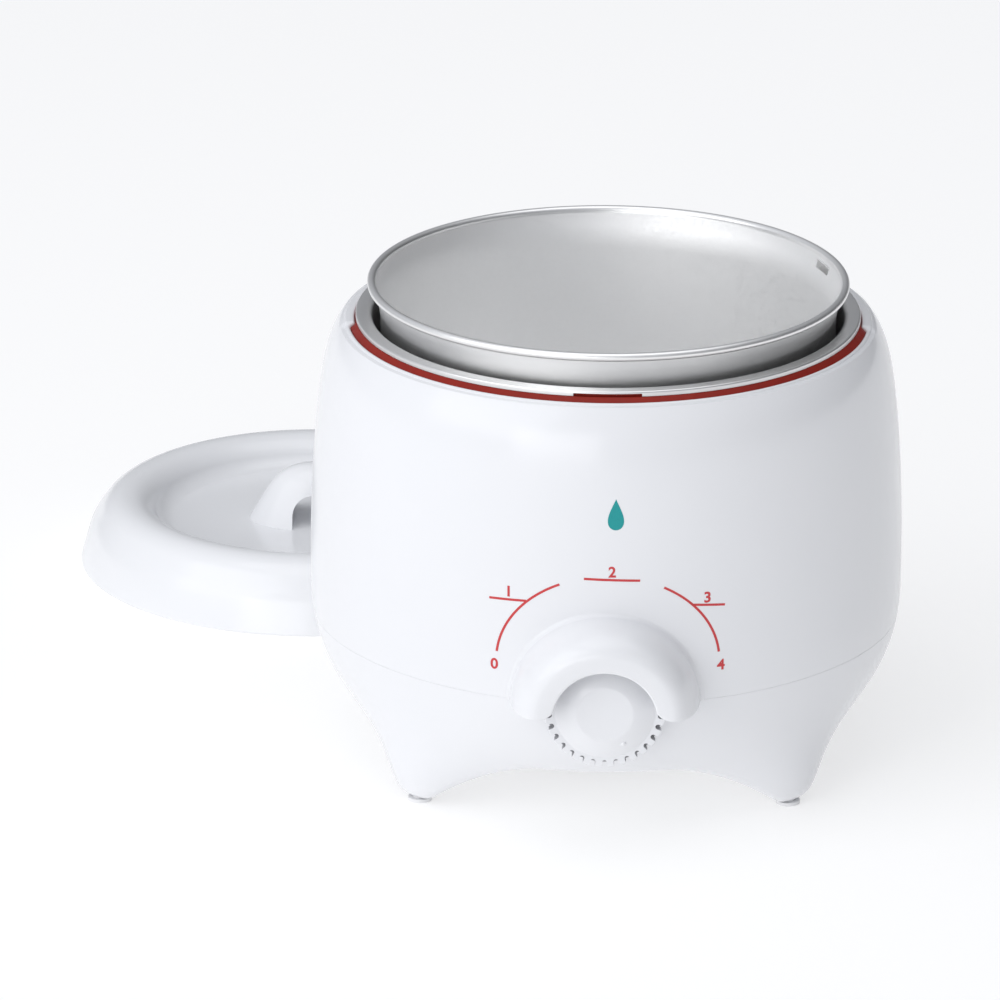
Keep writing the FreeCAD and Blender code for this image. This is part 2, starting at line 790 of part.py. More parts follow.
# ---------------------------------------------------------------- wax pot


def wax_pot():
    """The lift-out pot: a thin spun cup with a rolled bead and one slot for a lifting bail."""
    outside = pot_radius
    inside = pot_radius - pot_wall
    bottom = well_floor_height + pot_clearance
    cup = turned(
        "pot_cup",
        [
            (0, bottom),
            (outside - 4, bottom),
            (outside, bottom + 4),
            (outside, 134.4),
            (pot_bead_circle - 0.4, pot_bead_height - 0.3),
            (pot_bead_circle - 1.0, pot_bead_height + 0.3),
            (inside, 134.9),
            (inside, bottom + 4.4),
            (inside - 3.4, bottom + pot_wall),
            (0, bottom + pot_wall),
        ],
    )
    bead = doc.addObject("Part::Torus", "pot_bead")
    bind(bead, Radius1=pot_bead_circle, Radius2=pot_bead_radius)
    place(bead, z=pot_bead_height)
    slot = radial_rib("bail_slot", 20, 60, 70, 9, 134.6, 136.7)
    node("wax_pot", cut("wax_pot_", fuse("pot_blank", [cup, bead]), slot))


# ---------------------------------------------------------------- lid


def lid_shell():
    """The dished lid: a sloping skirt, a round crest and a flat dish, two millimetres thick."""
    crest_out = lid_radius - 9.6
    crest_in = lid_radius - 20.7
    body = turned(
        "lid_shell_",
        [
            (lid_radius - lid_wall, 0),
            (lid_radius, 0),
            (lid_radius - 3.2, 11.6),
            (crest_out, lid_height),
            (crest_in, lid_height),
            (lid_dish_radius + 1, lid_dish_height),
            (0, lid_dish_height),
            (0, lid_dish_height - lid_wall),
            (lid_dish_radius + 2.4, lid_dish_height - lid_wall),
            (crest_in + 1.4, lid_height - lid_wall),
            (crest_out - 1.0, lid_height - lid_wall),
            (lid_radius - 3.2 - lid_wall, 10.8),
        ],
    )
    rounded(body, 5.0, [(crest_out, lid_height), (crest_in, lid_height)])
    rounded(body, 3.0, [(lid_radius - 3.2, 11.6), (lid_dish_radius + 1, lid_dish_height)])
    holes = [post(f"lid_screw_hole_{side + 1}", 1.6, lid_x + 12.4 * side, lid_y, 5, 15) for side in (-1, 1)]
    node("lid_shell", cut("lid_shell_cut", place(body, lid_x, lid_y, 0), fuse("lid_screw_holes", holes)))


def handle_section(height, share):
    """One level oval of the lid's handle, at a height above the dish."""
    points = []
    for step in range(24):
        angle = 2 * math.pi * step / 24
        x = handle_half_length.value * share * math.cos(angle)
        y = handle_half_width.value * share * math.sin(angle)
        points.append(Vector(x, y, height))
    return smooth_loop(points)


def lid_handle():
    """The moulded grip in the dish: an oval cone with a finger tunnel, screwed on from below."""
    shares = [(0, 1.0), (3, 0.9), (6, 0.8), (10, 0.69), (14, 0.55), (16.2, 0.42), (17.2, 0.27)]
    form = doc.addObject("Part::Feature", "handle_form")
    sections = [handle_section(height, share) for height, share in shares]
    sections.append(handle_section(handle_rise.value, 0.12))
    form.Shape = Part.makeLoft(sections, True, False)
    place(form, lid_x, lid_y, lid_dish_height)
    arch = handle_tunnel_rise - handle_tunnel_radius
    spring = lid_dish_height + arch
    top = cylinder("tunnel_top", handle_tunnel_radius, 40, lid_x, lid_y - 20, spring, FACING_BACK)
    bottom = box("tunnel_bottom", handle_tunnel_radius * 2, 40, arch + 1, lid_x, lid_y, lid_dish_height - 1)
    holes = []
    for side in (-1, 1):
        holes.append(post(f"grip_pilot_{side + 1}", pilot_radius, lid_x + 12.4 * side, lid_y, 10, 20.5))
    node("lid_handle", cut("lid_handle_", form, fuse("handle_holes", [top, bottom] + holes)))


def lid_screws():
    """Two screws from inside the lid up into the grip's legs."""
    screws = []
    for side in (-1, 1):
        x = lid_x + 12.4 * side
        under = lid_dish_height - lid_wall
        head = post(f"lid_head_{side + 1}", screw_head_radius, x, lid_y, under - 1.8, under)
        shank = post(f"lid_shank_{side + 1}", screw_shank_radius, x, lid_y, under - 0.5, 19.5)
        screws.append(fuse(f"lid_screw_{side + 1}", [head, shank]))
    node("lid_screws", group("lid_screws_", screws))


# ---------------------------------------------------------------- the whole object


def check_document():
    """Stop if any object failed to compute or any sub-part isn't a valid solid."""
    doc.recompute()
    failed = [o.Name for o in doc.Objects if "Invalid" in o.State or "Error" in o.State]
    if failed:
        raise ValueError(f"failed objects: {failed}")
    for part in nodes:
        shape = part.Shape
        if shape.isNull() or not shape.isValid() or not shape.Solids:
            raise ValueError(f"{part.Label} is not a valid solid")


def main():
    form = housing_form()
    base_shell(form)
    upper_shell(form)
    shell_screws()
    foot_pads()
    heating_well()
    rim_gasket()
    band_heater()
    heater_terminals()
    insulation()
    clamp()
    thermal_fuse()
    thermostat()
    thermostat_spindle()
    knob()
    power_inlet()
    leads()
    wax_pot()
    lid_shell()
    lid_handle()
    lid_screws()
    check_document()
    os.makedirs("parts", exist_ok=True)
    for part in nodes:
        part.Shape.exportStep(f"parts/{part.Label}.step")
        print(f"{part.Label}: {len(part.Shape.Solids)} solid(s), {part.Shape.Volume / 1000:.2f} cm3")


main()
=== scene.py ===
"""The looks of a salon wax warmer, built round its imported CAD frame.

Lengths inside the shape functions are millimetres in the object's own frame: +Z up, the front
towards -Y, the origin on the floor under the well's axis. MM turns them into metres.
"""

import json
import math

import bmesh
import bpy
from mathutils import Matrix, Vector


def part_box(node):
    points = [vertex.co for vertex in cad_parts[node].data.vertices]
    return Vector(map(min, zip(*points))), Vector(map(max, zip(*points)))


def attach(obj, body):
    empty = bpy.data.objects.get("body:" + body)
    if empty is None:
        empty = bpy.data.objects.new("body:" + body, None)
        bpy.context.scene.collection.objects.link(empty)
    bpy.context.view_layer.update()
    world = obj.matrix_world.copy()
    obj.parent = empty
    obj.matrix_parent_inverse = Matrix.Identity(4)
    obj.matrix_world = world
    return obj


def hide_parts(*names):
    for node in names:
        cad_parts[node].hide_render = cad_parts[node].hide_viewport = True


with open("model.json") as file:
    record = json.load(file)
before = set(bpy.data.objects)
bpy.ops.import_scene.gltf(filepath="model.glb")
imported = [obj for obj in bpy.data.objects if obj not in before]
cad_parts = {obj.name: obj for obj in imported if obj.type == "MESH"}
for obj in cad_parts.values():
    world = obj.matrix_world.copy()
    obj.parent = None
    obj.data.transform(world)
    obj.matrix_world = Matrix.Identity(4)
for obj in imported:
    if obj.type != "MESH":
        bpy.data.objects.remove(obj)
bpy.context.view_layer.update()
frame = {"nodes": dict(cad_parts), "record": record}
MM = 0.001

LOW = 0
HIGH = 1
X = 0
Y = 1
Z = 2


def box_edge(node, end, axis):
    """Where a CAD node's box ends along an axis, in millimetres to the nearest hundredth."""
    return round(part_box(node)[end][axis] / MM, 2)


# ---------------------------------------------------------------- places, from the CAD frame

FOOT_BOTTOM = box_edge("base_shell", LOW, Z)
SEAM = box_edge("upper_shell", LOW, Z)
CREST_HEIGHT = box_edge("upper_shell", HIGH, Z)
SHELF_TOP = box_edge("rim_gasket", LOW, Z)
FLANGE_TOP = box_edge("heating_well", HIGH, Z)
FLANGE_RADIUS = box_edge("heating_well", HIGH, X)
POT_BOTTOM = box_edge("wax_pot", LOW, Z)
POT_TOP = box_edge("wax_pot", HIGH, Z)
RIM_RADIUS = box_edge("wax_pot", HIGH, X)
HOOD_FRONT = -box_edge("upper_shell", LOW, Y)
KNOB_BACK = -box_edge("knob", HIGH, Y)
KNOB_FRONT = -box_edge("knob", LOW, Y)
INLET_SIDE = box_edge("power_inlet", HIGH, X)
INLET_BOTTOM = box_edge("power_inlet", LOW, Z)
INLET_TOP = box_edge("power_inlet", HIGH, Z)
LID_X = (box_edge("lid_shell", LOW, X) + box_edge("lid_shell", HIGH, X)) / 2
LID_Y = (box_edge("lid_shell", LOW, Y) + box_edge("lid_shell", HIGH, Y)) / 2
LID_RADIUS = box_edge("lid_shell", HIGH, X) - LID_X
LID_HEIGHT = box_edge("lid_shell", HIGH, Z)
DISH_HEIGHT = box_edge("lid_handle", LOW, Z)
GRIP_RISE = box_edge("lid_handle", HIGH, Z) - DISH_HEIGHT

# ---------------------------------------------------------------- sizes, in millimetres

COLUMNS = 480
BELLY_RADIUS = 85.0
BELLY_HEIGHT = 53.0
UNDERCUT = 34.7
UNDERCUT_POWER = 2.6
DRAFT = 5.7
DRAFT_POWER = 2.4
SHOULDER_POWER = 14
LEG_KNEE = 0.7
LEG_TUCK = 4.9
TOE_TUCK = 4.1
LEG_SHARPNESS = 5.9
LEG_SPREAD = 2.2
LEG_HEIGHT = 30.0
CREST_RADIUS = 75.4
CREST_ROUND = 0.75
OPENING_RADIUS = 73.9
REAR_OPENING = 72.3
FRONT_DIP = 0.6
GASKET_SWEEP = 83.4
SHELL_WALL = 2.6
SEAM_ROUND = 0.06
SEAM_GAP = 0.01
SEAM_STEP = 0.04
FLOOR_HEIGHT = 15.3
FLOOR_THICKNESS = 2.4
FLOOR_FLAT_RADIUS = 62.0
FLOOR_EDGE_RADIUS = 70.0
FLOOR_EDGE_RISE = 2.5
LEG_EXTRA_WALL = 3.0
ARCH_FLAT = 19.8
ARCH_REACH = 49.4
ARCH_START_POWER = 1.2
ARCH_END_POWER = 0.66
ARCH_BLEND = 1.2
FOOT_BLEND = 1.5
EDGE_SOFTNESS = 2.3
SHELF_THICKNESS = 2.4
WELL_HOLE = 68.5
VENT_PITCH = 7.5
VENT_WIDTH = 2.4
VENT_LENGTH = 46
VENT_SHORTENING = 3
SCREW_CIRCLE = 61.5
SCREW_WELL = 3.2
SCREW_ANGLES = (20, 160, 200, 340)
INLET_SIDE_LAP = 1.8
INLET_END_LAP = 2.0
PAD_HALF_WIDTH = 18.0
PAD_FACE = 86.0
PAD_DEPTH = 7.5
PAD_BOTTOM = 32.0
PAD_TOP = 58.0
PAD_ROUND = 0.9

HOOD_MOUTH = 14.5
HOOD_POCKET = 18.1
HOOD_WALL = 2.4
HOOD_POCKET_DEPTHS = (84.0, 91.0)
HOOD_POCKET_BEVEL = 0.6
HOOD_CROWN = 18.8
HOOD_LEAN = 2.0
HOOD_SHOULDER = 7.9
HOOD_SHOULDER_TURN = 84
HOOD_FILLET = 1.2
HOOD_FILLET_TURN = 4.5
HOOD_END_RISE = 3.0
HOOD_END_CUT = 3.6
HOOD_END_REACH = 4.2
MOUTH_ROUND = 0.9
MOUTH_SLOPE = 0.2

KNOB_RADIUS = 17.2
KNOB_RIM_FRONT = 89.0
KNOB_FACE_RADIUS = 7.9
KNOB_RECESS = 9.2
BOSS_RADIUS = 14.2
BOSS_TURN = 62
KNOB_SLOTS = 30
SLOT_FLOOR_RADIUS = 14.9
SLOT_WIDTH = 1.5
TOOTH_ROUND = 0.55
WEB_RADIUS = 16.4
WEB_DEPTH = 0.6
DOT_RADIUS = 0.8
DOT_X = 5.2
DOT_DROP = 8.9
DOT_RISE = 0.6

WELL_INNER = 67.3
WELL_FLOOR = 69.0
SHEET = 0.8
LIP_DROP = 1.5
GASKET_TOP = 128.1
GASKET_FLAT = 126.0
GASKET_GAP = 0.1
NOTCH_HALF_WIDTH = 9.6

POT_RADIUS = 65.0
POT_WALL = 1.0
POT_FLARE_START = 131.0
POT_FLARE = 22.0
BEAD_RADIUS = 1.2
BEAD_START = -100
BEAD_SWEEP = 280
BEAD_CIRCLE = RIM_RADIUS - BEAD_RADIUS
BEAD_HEIGHT = POT_TOP - BEAD_RADIUS
BAIL_ANGLE = 20

LID_WALL = 2.0
LID_CREST_OUT = 61.6
LID_CREST_IN = 50.5
LID_SKIRT_RADIUS = 68.0
LID_SKIRT_HEIGHT = 11.6
LID_DISH_RADIUS = 47.0
GRIP_LENGTH = 19.8
GRIP_WIDTH = 12.8
TUNNEL_RADIUS = 6.4
TUNNEL_RISE = 10.0
GRIP_TAPER = 0.5
GRIP_TOP_POWER = 7
GRIP_EDGE = 0.8

PRINT_LIFT = 0.03
PRINT_THICK = 0.05
SCALE_X = 0.67
SCALE_Z = 52.7
SCALE_HALF_WIDTH = 31.25
SCALE_RISE = 26.8
LINE_WIDTH = 0.68
NUMERAL_HEIGHT = 3.0
NUMERAL_BOLDNESS = 0.04
CAPITAL_SHARE = 0.7


# ---------------------------------------------------------------- mesh building


def mesh_object(name, points, faces, sharp=35):
    """A smooth-shaded mesh whose edges over the sharp angle stay crisp."""
    mesh = bpy.data.meshes.new(name)
    mesh.from_pydata([Vector(p) * MM for p in points], [], faces)
    mesh.validate()
    thing = bpy.data.objects.new(name, mesh)
    bpy.context.scene.collection.objects.link(thing)
    tidy(thing, sharp)
    return thing


def tidy(thing, sharp=35):
    """Merge doubled points, face all faces outwards and shade them smooth."""
    work = bmesh.new()
    work.from_mesh(thing.data)
    bmesh.ops.remove_doubles(work, verts=work.verts, dist=0.002 * MM)
    bmesh.ops.dissolve_degenerate(work, edges=work.edges, dist=0.001 * MM)
    bmesh.ops.recalc_face_normals(work, faces=work.faces)
    work.to_mesh(thing.data)
    work.free()
    for polygon in thing.data.polygons:
        polygon.use_smooth = True
    thing.data.set_sharp_from_angle(angle=math.radians(sharp))


def grid(name, rows, closed=False, sharp=35):
    """Quads between rings of points; closed joins the last ring to the first."""
    count = len(rows[0])
    points = [p for row in rows for p in row]
    faces = []
    last = len(rows) if closed else len(rows) - 1
    for i in range(last):
        here = i * count
        there = (i + 1) % len(rows) * count
        for j in range(count):
            k = (j + 1) % count
            faces.append((here + j, here + k, there + k, there + j))
    return mesh_object(name, points, faces, sharp)


def sheet_grid(name, rows, sharp=35):
    """Quads between open rows of points, closed round the rows and capped at both ends."""
    count = len(rows[0])
    points = [p for row in rows for p in row]
    faces = []
    for i in range(len(rows) - 1):
        for j in range(count):
            k = (j + 1) % count
            faces.append((i * count + j, i * count + k, (i + 1) * count + k, (i + 1) * count + j))
    faces.append(tuple(range(count)))
    faces.append(tuple(range((len(rows) - 1) * count, len(rows) * count)))
    return mesh_object(name, points, faces, sharp)


def rounded_path(corners, steps=6):
    """A path through (u, v, radius) corners, each rounded by a true arc of its radius."""
    path = []
    for i, (u, v, radius) in enumerate(corners):
        if radius == 0 or i == 0 or i == len(corners) - 1:
            path.append((u, v))
            continue
        here = Vector((u, v))
        inward = (Vector(corners[i - 1][:2]) - here).normalized()
        outward = (Vector(corners[i + 1][:2]) - here).normalized()
        half = inward.angle(outward) / 2
        reach = radius / math.tan(half)
        centre = here + (inward + outward).normalized() * (radius / math.sin(half))
        first = here + inward * reach - centre
        last = here + outward * reach - centre
        turn = first.angle_signed(last)
        for step in range(steps + 1):
            spot = centre + Matrix.Rotation(-turn * step / steps, 2) @ first
            path.append((spot.x, spot.y))
    return path


def lathe(name, profile, columns, x=0.0, y=0.0, closed=True):
    """A profile of (radius, height) turned about an upright axis."""
    rows = []
    for radius, height in profile:
        row = []
        for step in range(columns):
            angle = 2 * math.pi * step / columns
            row.append((x + radius * math.cos(angle), y + radius * math.sin(angle), height))
        rows.append(row)
    return grid(name, rows, closed)


def cuboid(name, x, y, z):
    """A box between the given low and high values, for use as a cutter or a bevelled blank."""
    points = [(a, b, c) for a in x for b in y for c in z]
    faces = [(0, 1, 3, 2), (4, 6, 7, 5), (0, 4, 5, 1), (2, 3, 7, 6), (0, 2, 6, 4), (1, 5, 7, 3)]
    return mesh_object(name, points, faces)


def prism(name, outline, y_low, y_high):
    """An outline of (x, z) points drawn out along Y."""
    rows = [[(x, y, z) for x, z in outline] for y in (y_low, y_high)]
    return sheet_grid(name, rows)


def apply_modifiers(thing):
    """Bake a mesh's modifiers into it."""
    graph = bpy.context.evaluated_depsgraph_get()
    baked = bpy.data.meshes.new_from_object(thing.evaluated_get(graph))
    thing.modifiers.clear()
    thing.data = baked


def carve(thing, cutters, operation="DIFFERENCE"):
    """Cut the cutters out of a mesh, or join them to it, and remove them."""
    for number, cutter in enumerate(cutters):
        step = thing.modifiers.new(f"cut_{number}", "BOOLEAN")
        step.operation = operation
        step.solver = "EXACT"
        step.object = cutter
    bpy.context.view_layer.update()
    apply_modifiers(thing)
    for cutter in cutters:
        bpy.data.objects.remove(cutter)
    tidy(thing)
    return thing


def bevel(thing, width, angle, segments):
    """Round a mesh's crisp edges."""
    step = thing.modifiers.new("edge_rounding", "BEVEL")
    step.width = width * MM
    step.segments = segments
    step.limit_method = "ANGLE"
    step.angle_limit = math.radians(angle)
    step.harden_normals = False


# ---------------------------------------------------------------- housing shape


def front_profile(z):
    """The housing's radius straight ahead and to the sides."""
    if z < BELLY_HEIGHT:
        drop = (BELLY_HEIGHT - z) / BELLY_HEIGHT
        return BELLY_RADIUS - UNDERCUT * drop**UNDERCUT_POWER
    rise = (z - BELLY_HEIGHT) / (CREST_HEIGHT - BELLY_HEIGHT)
    shoulder = BELLY_RADIUS - DRAFT - CREST_RADIUS
    return BELLY_RADIUS - DRAFT * rise**DRAFT_POWER - shoulder * rise**SHOULDER_POWER


def diagonal_profile(z):
    """The housing's radius over a foot, which hardly tucks in."""
    if z >= BELLY_HEIGHT:
        return front_profile(z)
    drop = (BELLY_HEIGHT - z) / BELLY_HEIGHT
    knee = min(drop / LEG_KNEE, 1.0)
    return BELLY_RADIUS - LEG_TUCK * knee**2 * (3 - 2 * knee) - TOE_TUCK * drop**SHOULDER_POWER


def reach(angle, z):
    """The housing's outer radius at an angle and a height."""
    z = max(z, 0.0)
    sharpness = LEG_SHARPNESS - LEG_SPREAD * min(z / LEG_HEIGHT, 1.0)
    near = front_profile(z)
    return near + (diagonal_profile(z) - near) * abs(math.sin(2 * angle)) ** sharpness


def arch(offset):
    """The height of the arch's underside at a distance to the side of its middle."""
    run = (abs(offset) - ARCH_FLAT) / (ARCH_REACH - ARCH_FLAT)
    run = min(max(run, 0.0), 1.0)
    return FLOOR_HEIGHT * (1 - run**ARCH_START_POWER) ** ARCH_END_POWER


def smooth_max(a, b, softness):
    """The larger of two values, blended where they are closer than the softness."""
    gap = max(softness - abs(a - b), 0.0) / softness
    return max(a, b) + gap * gap * softness / 4


def underside(x, y):
    """The height of the base's underside: two crossing arches that leave four feet."""
    crossing = smooth_max(arch(x), arch(y), ARCH_BLEND)
    return smooth_max(crossing, FOOT_BOTTOM, FOOT_BLEND)


def bottom_edge(angle):
    """The height at which the outer wall meets the underside."""
    low, high = 0.0, FLOOR_HEIGHT + 2
    for _ in range(30):
        middle = (low + high) / 2
        radius = reach(angle, middle)
        if underside(radius * math.cos(angle), radius * math.sin(angle)) > middle:
            low = middle
        else:
            high = middle
    return low


def base_column(angle):
    """One vertical slice of the base: (radius, height) from the seam down, under and back inside."""
    edge = bottom_edge(angle)
    edge_radius = reach(angle, edge)
    soft = EDGE_SOFTNESS + 0.6 * max(0.0, 1 - edge / 6.0)
    top = SEAM - SEAM_GAP
    path = [(reach(angle, top) - SEAM_ROUND, top), (reach(angle, top) - SEAM_ROUND, top - SEAM_ROUND)]
    for step in range(36):
        z = top - SEAM_ROUND + (edge + soft - top + SEAM_ROUND) * step / 35
        path.append((reach(angle, z), z))
    start = Vector(path[-1])
    inside = edge_radius - soft
    corner = Vector((edge_radius, edge))
    end = Vector((inside, underside(inside * math.cos(angle), inside * math.sin(angle))))
    for step in range(1, 11):
        s = step / 10
        spot = start * (1 - s) ** 2 + corner * 2 * s * (1 - s) + end * s * s
        path.append((spot.x, spot.y))
    for step in range(1, 49):
        radius = inside * (1 - step / 48)
        path.append((radius, underside(radius * math.cos(angle), radius * math.sin(angle))))
    return path + base_inside(angle, top)


def base_inside(angle, top):
    """The inner side of a base slice: over the floor and up the wall, thicker near the feet."""
    floor_top = FLOOR_HEIGHT + FLOOR_THICKNESS
    path = [(0.0, floor_top), (FLOOR_FLAT_RADIUS, floor_top)]
    path.append((FLOOR_EDGE_RADIUS, floor_top + FLOOR_EDGE_RISE))
    for z in (25.0, 31.0, 37.0, top):
        wall = SHELL_WALL + LEG_EXTRA_WALL * max(0.0, 1 - (z - 17) / 12)
        path.append((reach(angle, z) - wall, z))
    return path


def from_columns(name, column):
    """A mesh from one vertical slice per angle."""
    angles = [2 * math.pi * step / COLUMNS for step in range(COLUMNS)]
    slices = [column(angle) for angle in angles]
    rows = []
    for i in range(len(slices[0])):
        row = []
        for angle, path in zip(angles, slices):
            radius, z = path[i]
            row.append((radius * math.cos(angle), radius * math.sin(angle), z))
        rows.append(row)
    return grid(name, rows, closed=True)


def opening(angle):
    """The radius of the crest's inner edge, which covers the gasket round the back."""
    from_front = abs(math.degrees((angle - 1.5 * math.pi + math.pi) % (2 * math.pi) - math.pi))
    share = min(max((from_front - GASKET_SWEEP) / 1.5, 0.0), 1.0)
    return OPENING_RADIUS + (REAR_OPENING - OPENING_RADIUS) * share * share * (3 - 2 * share)


def crest_top(angle):
    """The crest's height: a little lower in front, where it bares the gasket."""
    bared = (opening(angle) - REAR_OPENING) / (OPENING_RADIUS - REAR_OPENING)
    return CREST_HEIGHT - FRONT_DIP * bared


def upper_column(angle):
    """One vertical slice of the upper shell: up the outside, over the crest and back inside."""
    low = SEAM + SEAM_GAP
    edge = opening(angle)
    crest = CREST_RADIUS - CREST_ROUND
    summit = crest_top(angle)
    path = [(reach(angle, low) - SEAM_ROUND, low), (reach(angle, low) - SEAM_STEP, low + SEAM_STEP)]
    for step in range(60):
        z = low + SEAM_ROUND + (summit - CREST_ROUND - low - SEAM_ROUND) * (step / 59) ** 0.85
        path.append((reach(angle, z), z))
    for step in range(1, 6):
        turn = math.radians(18 * step)
        out = CREST_ROUND * math.cos(turn)
        path.append((crest + out, summit - CREST_ROUND * (1 - math.sin(turn))))
    soft = min(crest - edge, CREST_ROUND)
    for step in range(6):
        turn = math.radians(90 + 18 * step)
        path.append((edge + soft + soft * math.cos(turn), summit - soft * (1 - math.sin(turn))))
    path.append((edge, SHELF_TOP + 0.4))
    path.append((edge - 0.4, SHELF_TOP))
    path.append((WELL_HOLE, SHELF_TOP))
    under = SHELF_TOP - SHELF_THICKNESS
    path.append((WELL_HOLE, under))
    for z in (under, 118.0, 105.0, 85.0, 65.0, 50.0, low):
        path.append((reach(angle, z) - SHELL_WALL, z))
    return path


def hood_wall_depth(x, z):
    """How far in front of the axis the housing's wall stands at a point of the front view."""
    radius = front_profile(max(z, 20.0))
    return math.sqrt(radius * radius - x * x)


def hood_front(angle):
    """How far the hood's front stands from the axis: it leans back a little at its ends."""
    return HOOD_FRONT - HOOD_LEAN * (1 - math.sin(angle))


def hood_section():
    """The hood's section, as (distance from the knob's axis, kind, value).

    A "deep" value is a depth, a "back" value is measured back from the front, and a "share" is
    the part of the height over the wall.
    """
    rows = [(HOOD_POCKET, "deep", depth) for depth in HOOD_POCKET_DEPTHS]
    rows.append((HOOD_POCKET, "back", HOOD_WALL + HOOD_POCKET_BEVEL))
    rows.append((HOOD_POCKET - HOOD_POCKET_BEVEL, "back", HOOD_WALL))
    rows.append((HOOD_MOUTH + 0.3, "back", HOOD_WALL))
    for step in range(1, 11):
        turn = math.radians(9 * step)
        back = MOUTH_SLOPE + MOUTH_ROUND * (1 - math.sin(turn))
        rows.append((HOOD_MOUTH + MOUTH_ROUND * (1 - math.cos(turn)), "back", back))
    flat = HOOD_CROWN - HOOD_MOUTH - MOUTH_ROUND
    for step in range(1, 7):
        share = step / 6
        out = HOOD_MOUTH + MOUTH_ROUND + flat * share
        rows.append((out, "back", MOUTH_SLOPE * (1 - share) ** 2))
    return rows + hood_shoulder()


def hood_shoulder():
    """The hood's rounded shoulder and the hollow blend that carries it into the wall."""
    rows = []
    for step in range(1, 25):
        out = math.sin(math.radians(HOOD_SHOULDER_TURN * step / 24))
        rows.append((HOOD_CROWN + HOOD_SHOULDER * out, "share", math.sqrt(1 - out * out)))
    side, kind, share = rows[-1]
    tangent = math.radians(HOOD_FILLET_TURN)
    for step in range(1, 15):
        turn = tangent + (math.pi / 2 - tangent) * step / 14
        out = side + HOOD_FILLET * (math.cos(tangent) - math.cos(turn))
        rows.append((out, "share", share * (1 - math.sin(turn)) / (1 - math.sin(tangent))))
    rows.append((out + 0.3, "share", -0.03))
    return rows


def hood_point(distance, kind, value, angle):
    """One point of the hood at a direction about the knob's axis; its ends are rounded."""
    rise = distance * math.sin(angle)
    low = max(1 - rise / HOOD_END_RISE, 0.0)
    cut = HOOD_END_CUT * (1 - math.sqrt(max(1 - low * low, 0.0)))
    room = max((HOOD_MOUTH + HOOD_END_REACH - distance) / HOOD_END_REACH, 0.0)
    distance += cut * room
    x = distance * math.cos(angle)
    z = SEAM + distance * math.sin(angle)
    front = hood_front(angle)
    if kind == "deep":
        return x, -value, z
    if kind == "back":
        return x, value - front, z
    wall = hood_wall_depth(x, z)
    return x, -(wall + value * (front - wall)), z


def dial_hood():
    """The hood over the knob, moulded out of the upper shell's front and ending at the seam."""
    section = hood_section()
    rows = []
    for step in range(141):
        angle = math.pi * (1 - math.cos(math.pi * step / 140)) / 2
        rows.append([hood_point(*spot, angle) for spot in section])
    hood = sheet_grid("dial_hood", rows, 40)
    bevel(hood, 0.3, 60, 3)
    return hood


def inlet_window():
    """The hole through the back of the shells and their pad for the power inlet."""
    half = INLET_SIDE - INLET_SIDE_LAP
    ends = (INLET_BOTTOM + INLET_END_LAP, INLET_TOP - INLET_END_LAP)
    return cuboid("inlet_window", (-half, half), (60.0, 100.0), ends)


def inlet_pad(name, z_low, z_high):
    """Half of the flat raised pad round the inlet."""
    pad = cuboid(name, (-PAD_HALF_WIDTH, PAD_HALF_WIDTH), (PAD_FACE - PAD_DEPTH, PAD_FACE), (z_low, z_high))
    bevel(pad, PAD_ROUND, 40, 4)
    apply_modifiers(pad)
    return carve(pad, [inlet_window()])


def base_holes():
    """Cutters for the vents and the four screw wells in the base's floor."""
    cutters = []
    for i in range(-4, 5):
        half = (VENT_LENGTH - VENT_SHORTENING * abs(i)) / 2
        low = VENT_PITCH * i - VENT_WIDTH / 2
        cutters.append(cuboid("vent", (-half, half), (low, low + VENT_WIDTH), (10.0, 22.0)))
    top = FLOOR_HEIGHT + FLOOR_THICKNESS + 0.2
    profile = [(0.0, -2.0), (SCREW_WELL, -2.0), (SCREW_WELL, top), (0.0, top)]
    for angle in SCREW_ANGLES:
        x = SCREW_CIRCLE * math.cos(math.radians(angle))
        y = SCREW_CIRCLE * math.sin(math.radians(angle))
        cutters.append(lathe("screw_well", profile, 32, x, y))
    return cutters


# ---------------------------------------------------------------- knob


def slot_limit(angle):
    """The largest radius at an angle: the slot's round floor, or the tooth's rounded tip."""
    pitch = 2 * math.pi / KNOB_SLOTS
    off = (angle + pitch / 2) % pitch - pitch / 2
    side = abs(off) * (SLOT_FLOOR_RADIUS + 1.0)
    half = SLOT_WIDTH / 2
    if side < half:
        return SLOT_FLOOR_RADIUS + half - math.sqrt(half * half - side * side)
    short = max(TOOTH_ROUND - (side - half), 0.0)
    return KNOB_RADIUS - TOOTH_ROUND + math.sqrt(TOOTH_ROUND * TOOTH_ROUND - short * short)


def knob_angles():
    """Angles close enough together to draw each slot's round floor and each tooth's tip."""
    pitch = 2 * math.pi / KNOB_SLOTS
    edge = SLOT_WIDTH / 2 / (SLOT_FLOOR_RADIUS + 1.0)
    angles = []
    for slot in range(KNOB_SLOTS):
        middle = slot * pitch
        for step in range(-6, 7):
            angles.append(middle + edge * 0.9999 * math.sin(math.pi / 12 * step))
        width = pitch - 2.0002 * edge
        for step in range(13):
            share = (1 - math.cos(math.pi * step / 12)) / 2
            angles.append(middle + 1.0001 * edge + width * share)
    return angles


def knob_front(radius):
    """The depth of the domed boss and its flat face at a distance from the axis."""
    if radius <= KNOB_FACE_RADIUS:
        return KNOB_FRONT
    share = max(BOSS_RADIUS - radius, 0.0) / (BOSS_RADIUS - KNOB_FACE_RADIUS)
    dome = math.sin(math.radians(BOSS_TURN * share)) / math.sin(math.radians(BOSS_TURN))
    return KNOB_RIM_FRONT + (KNOB_FRONT - KNOB_RIM_FRONT) * dome


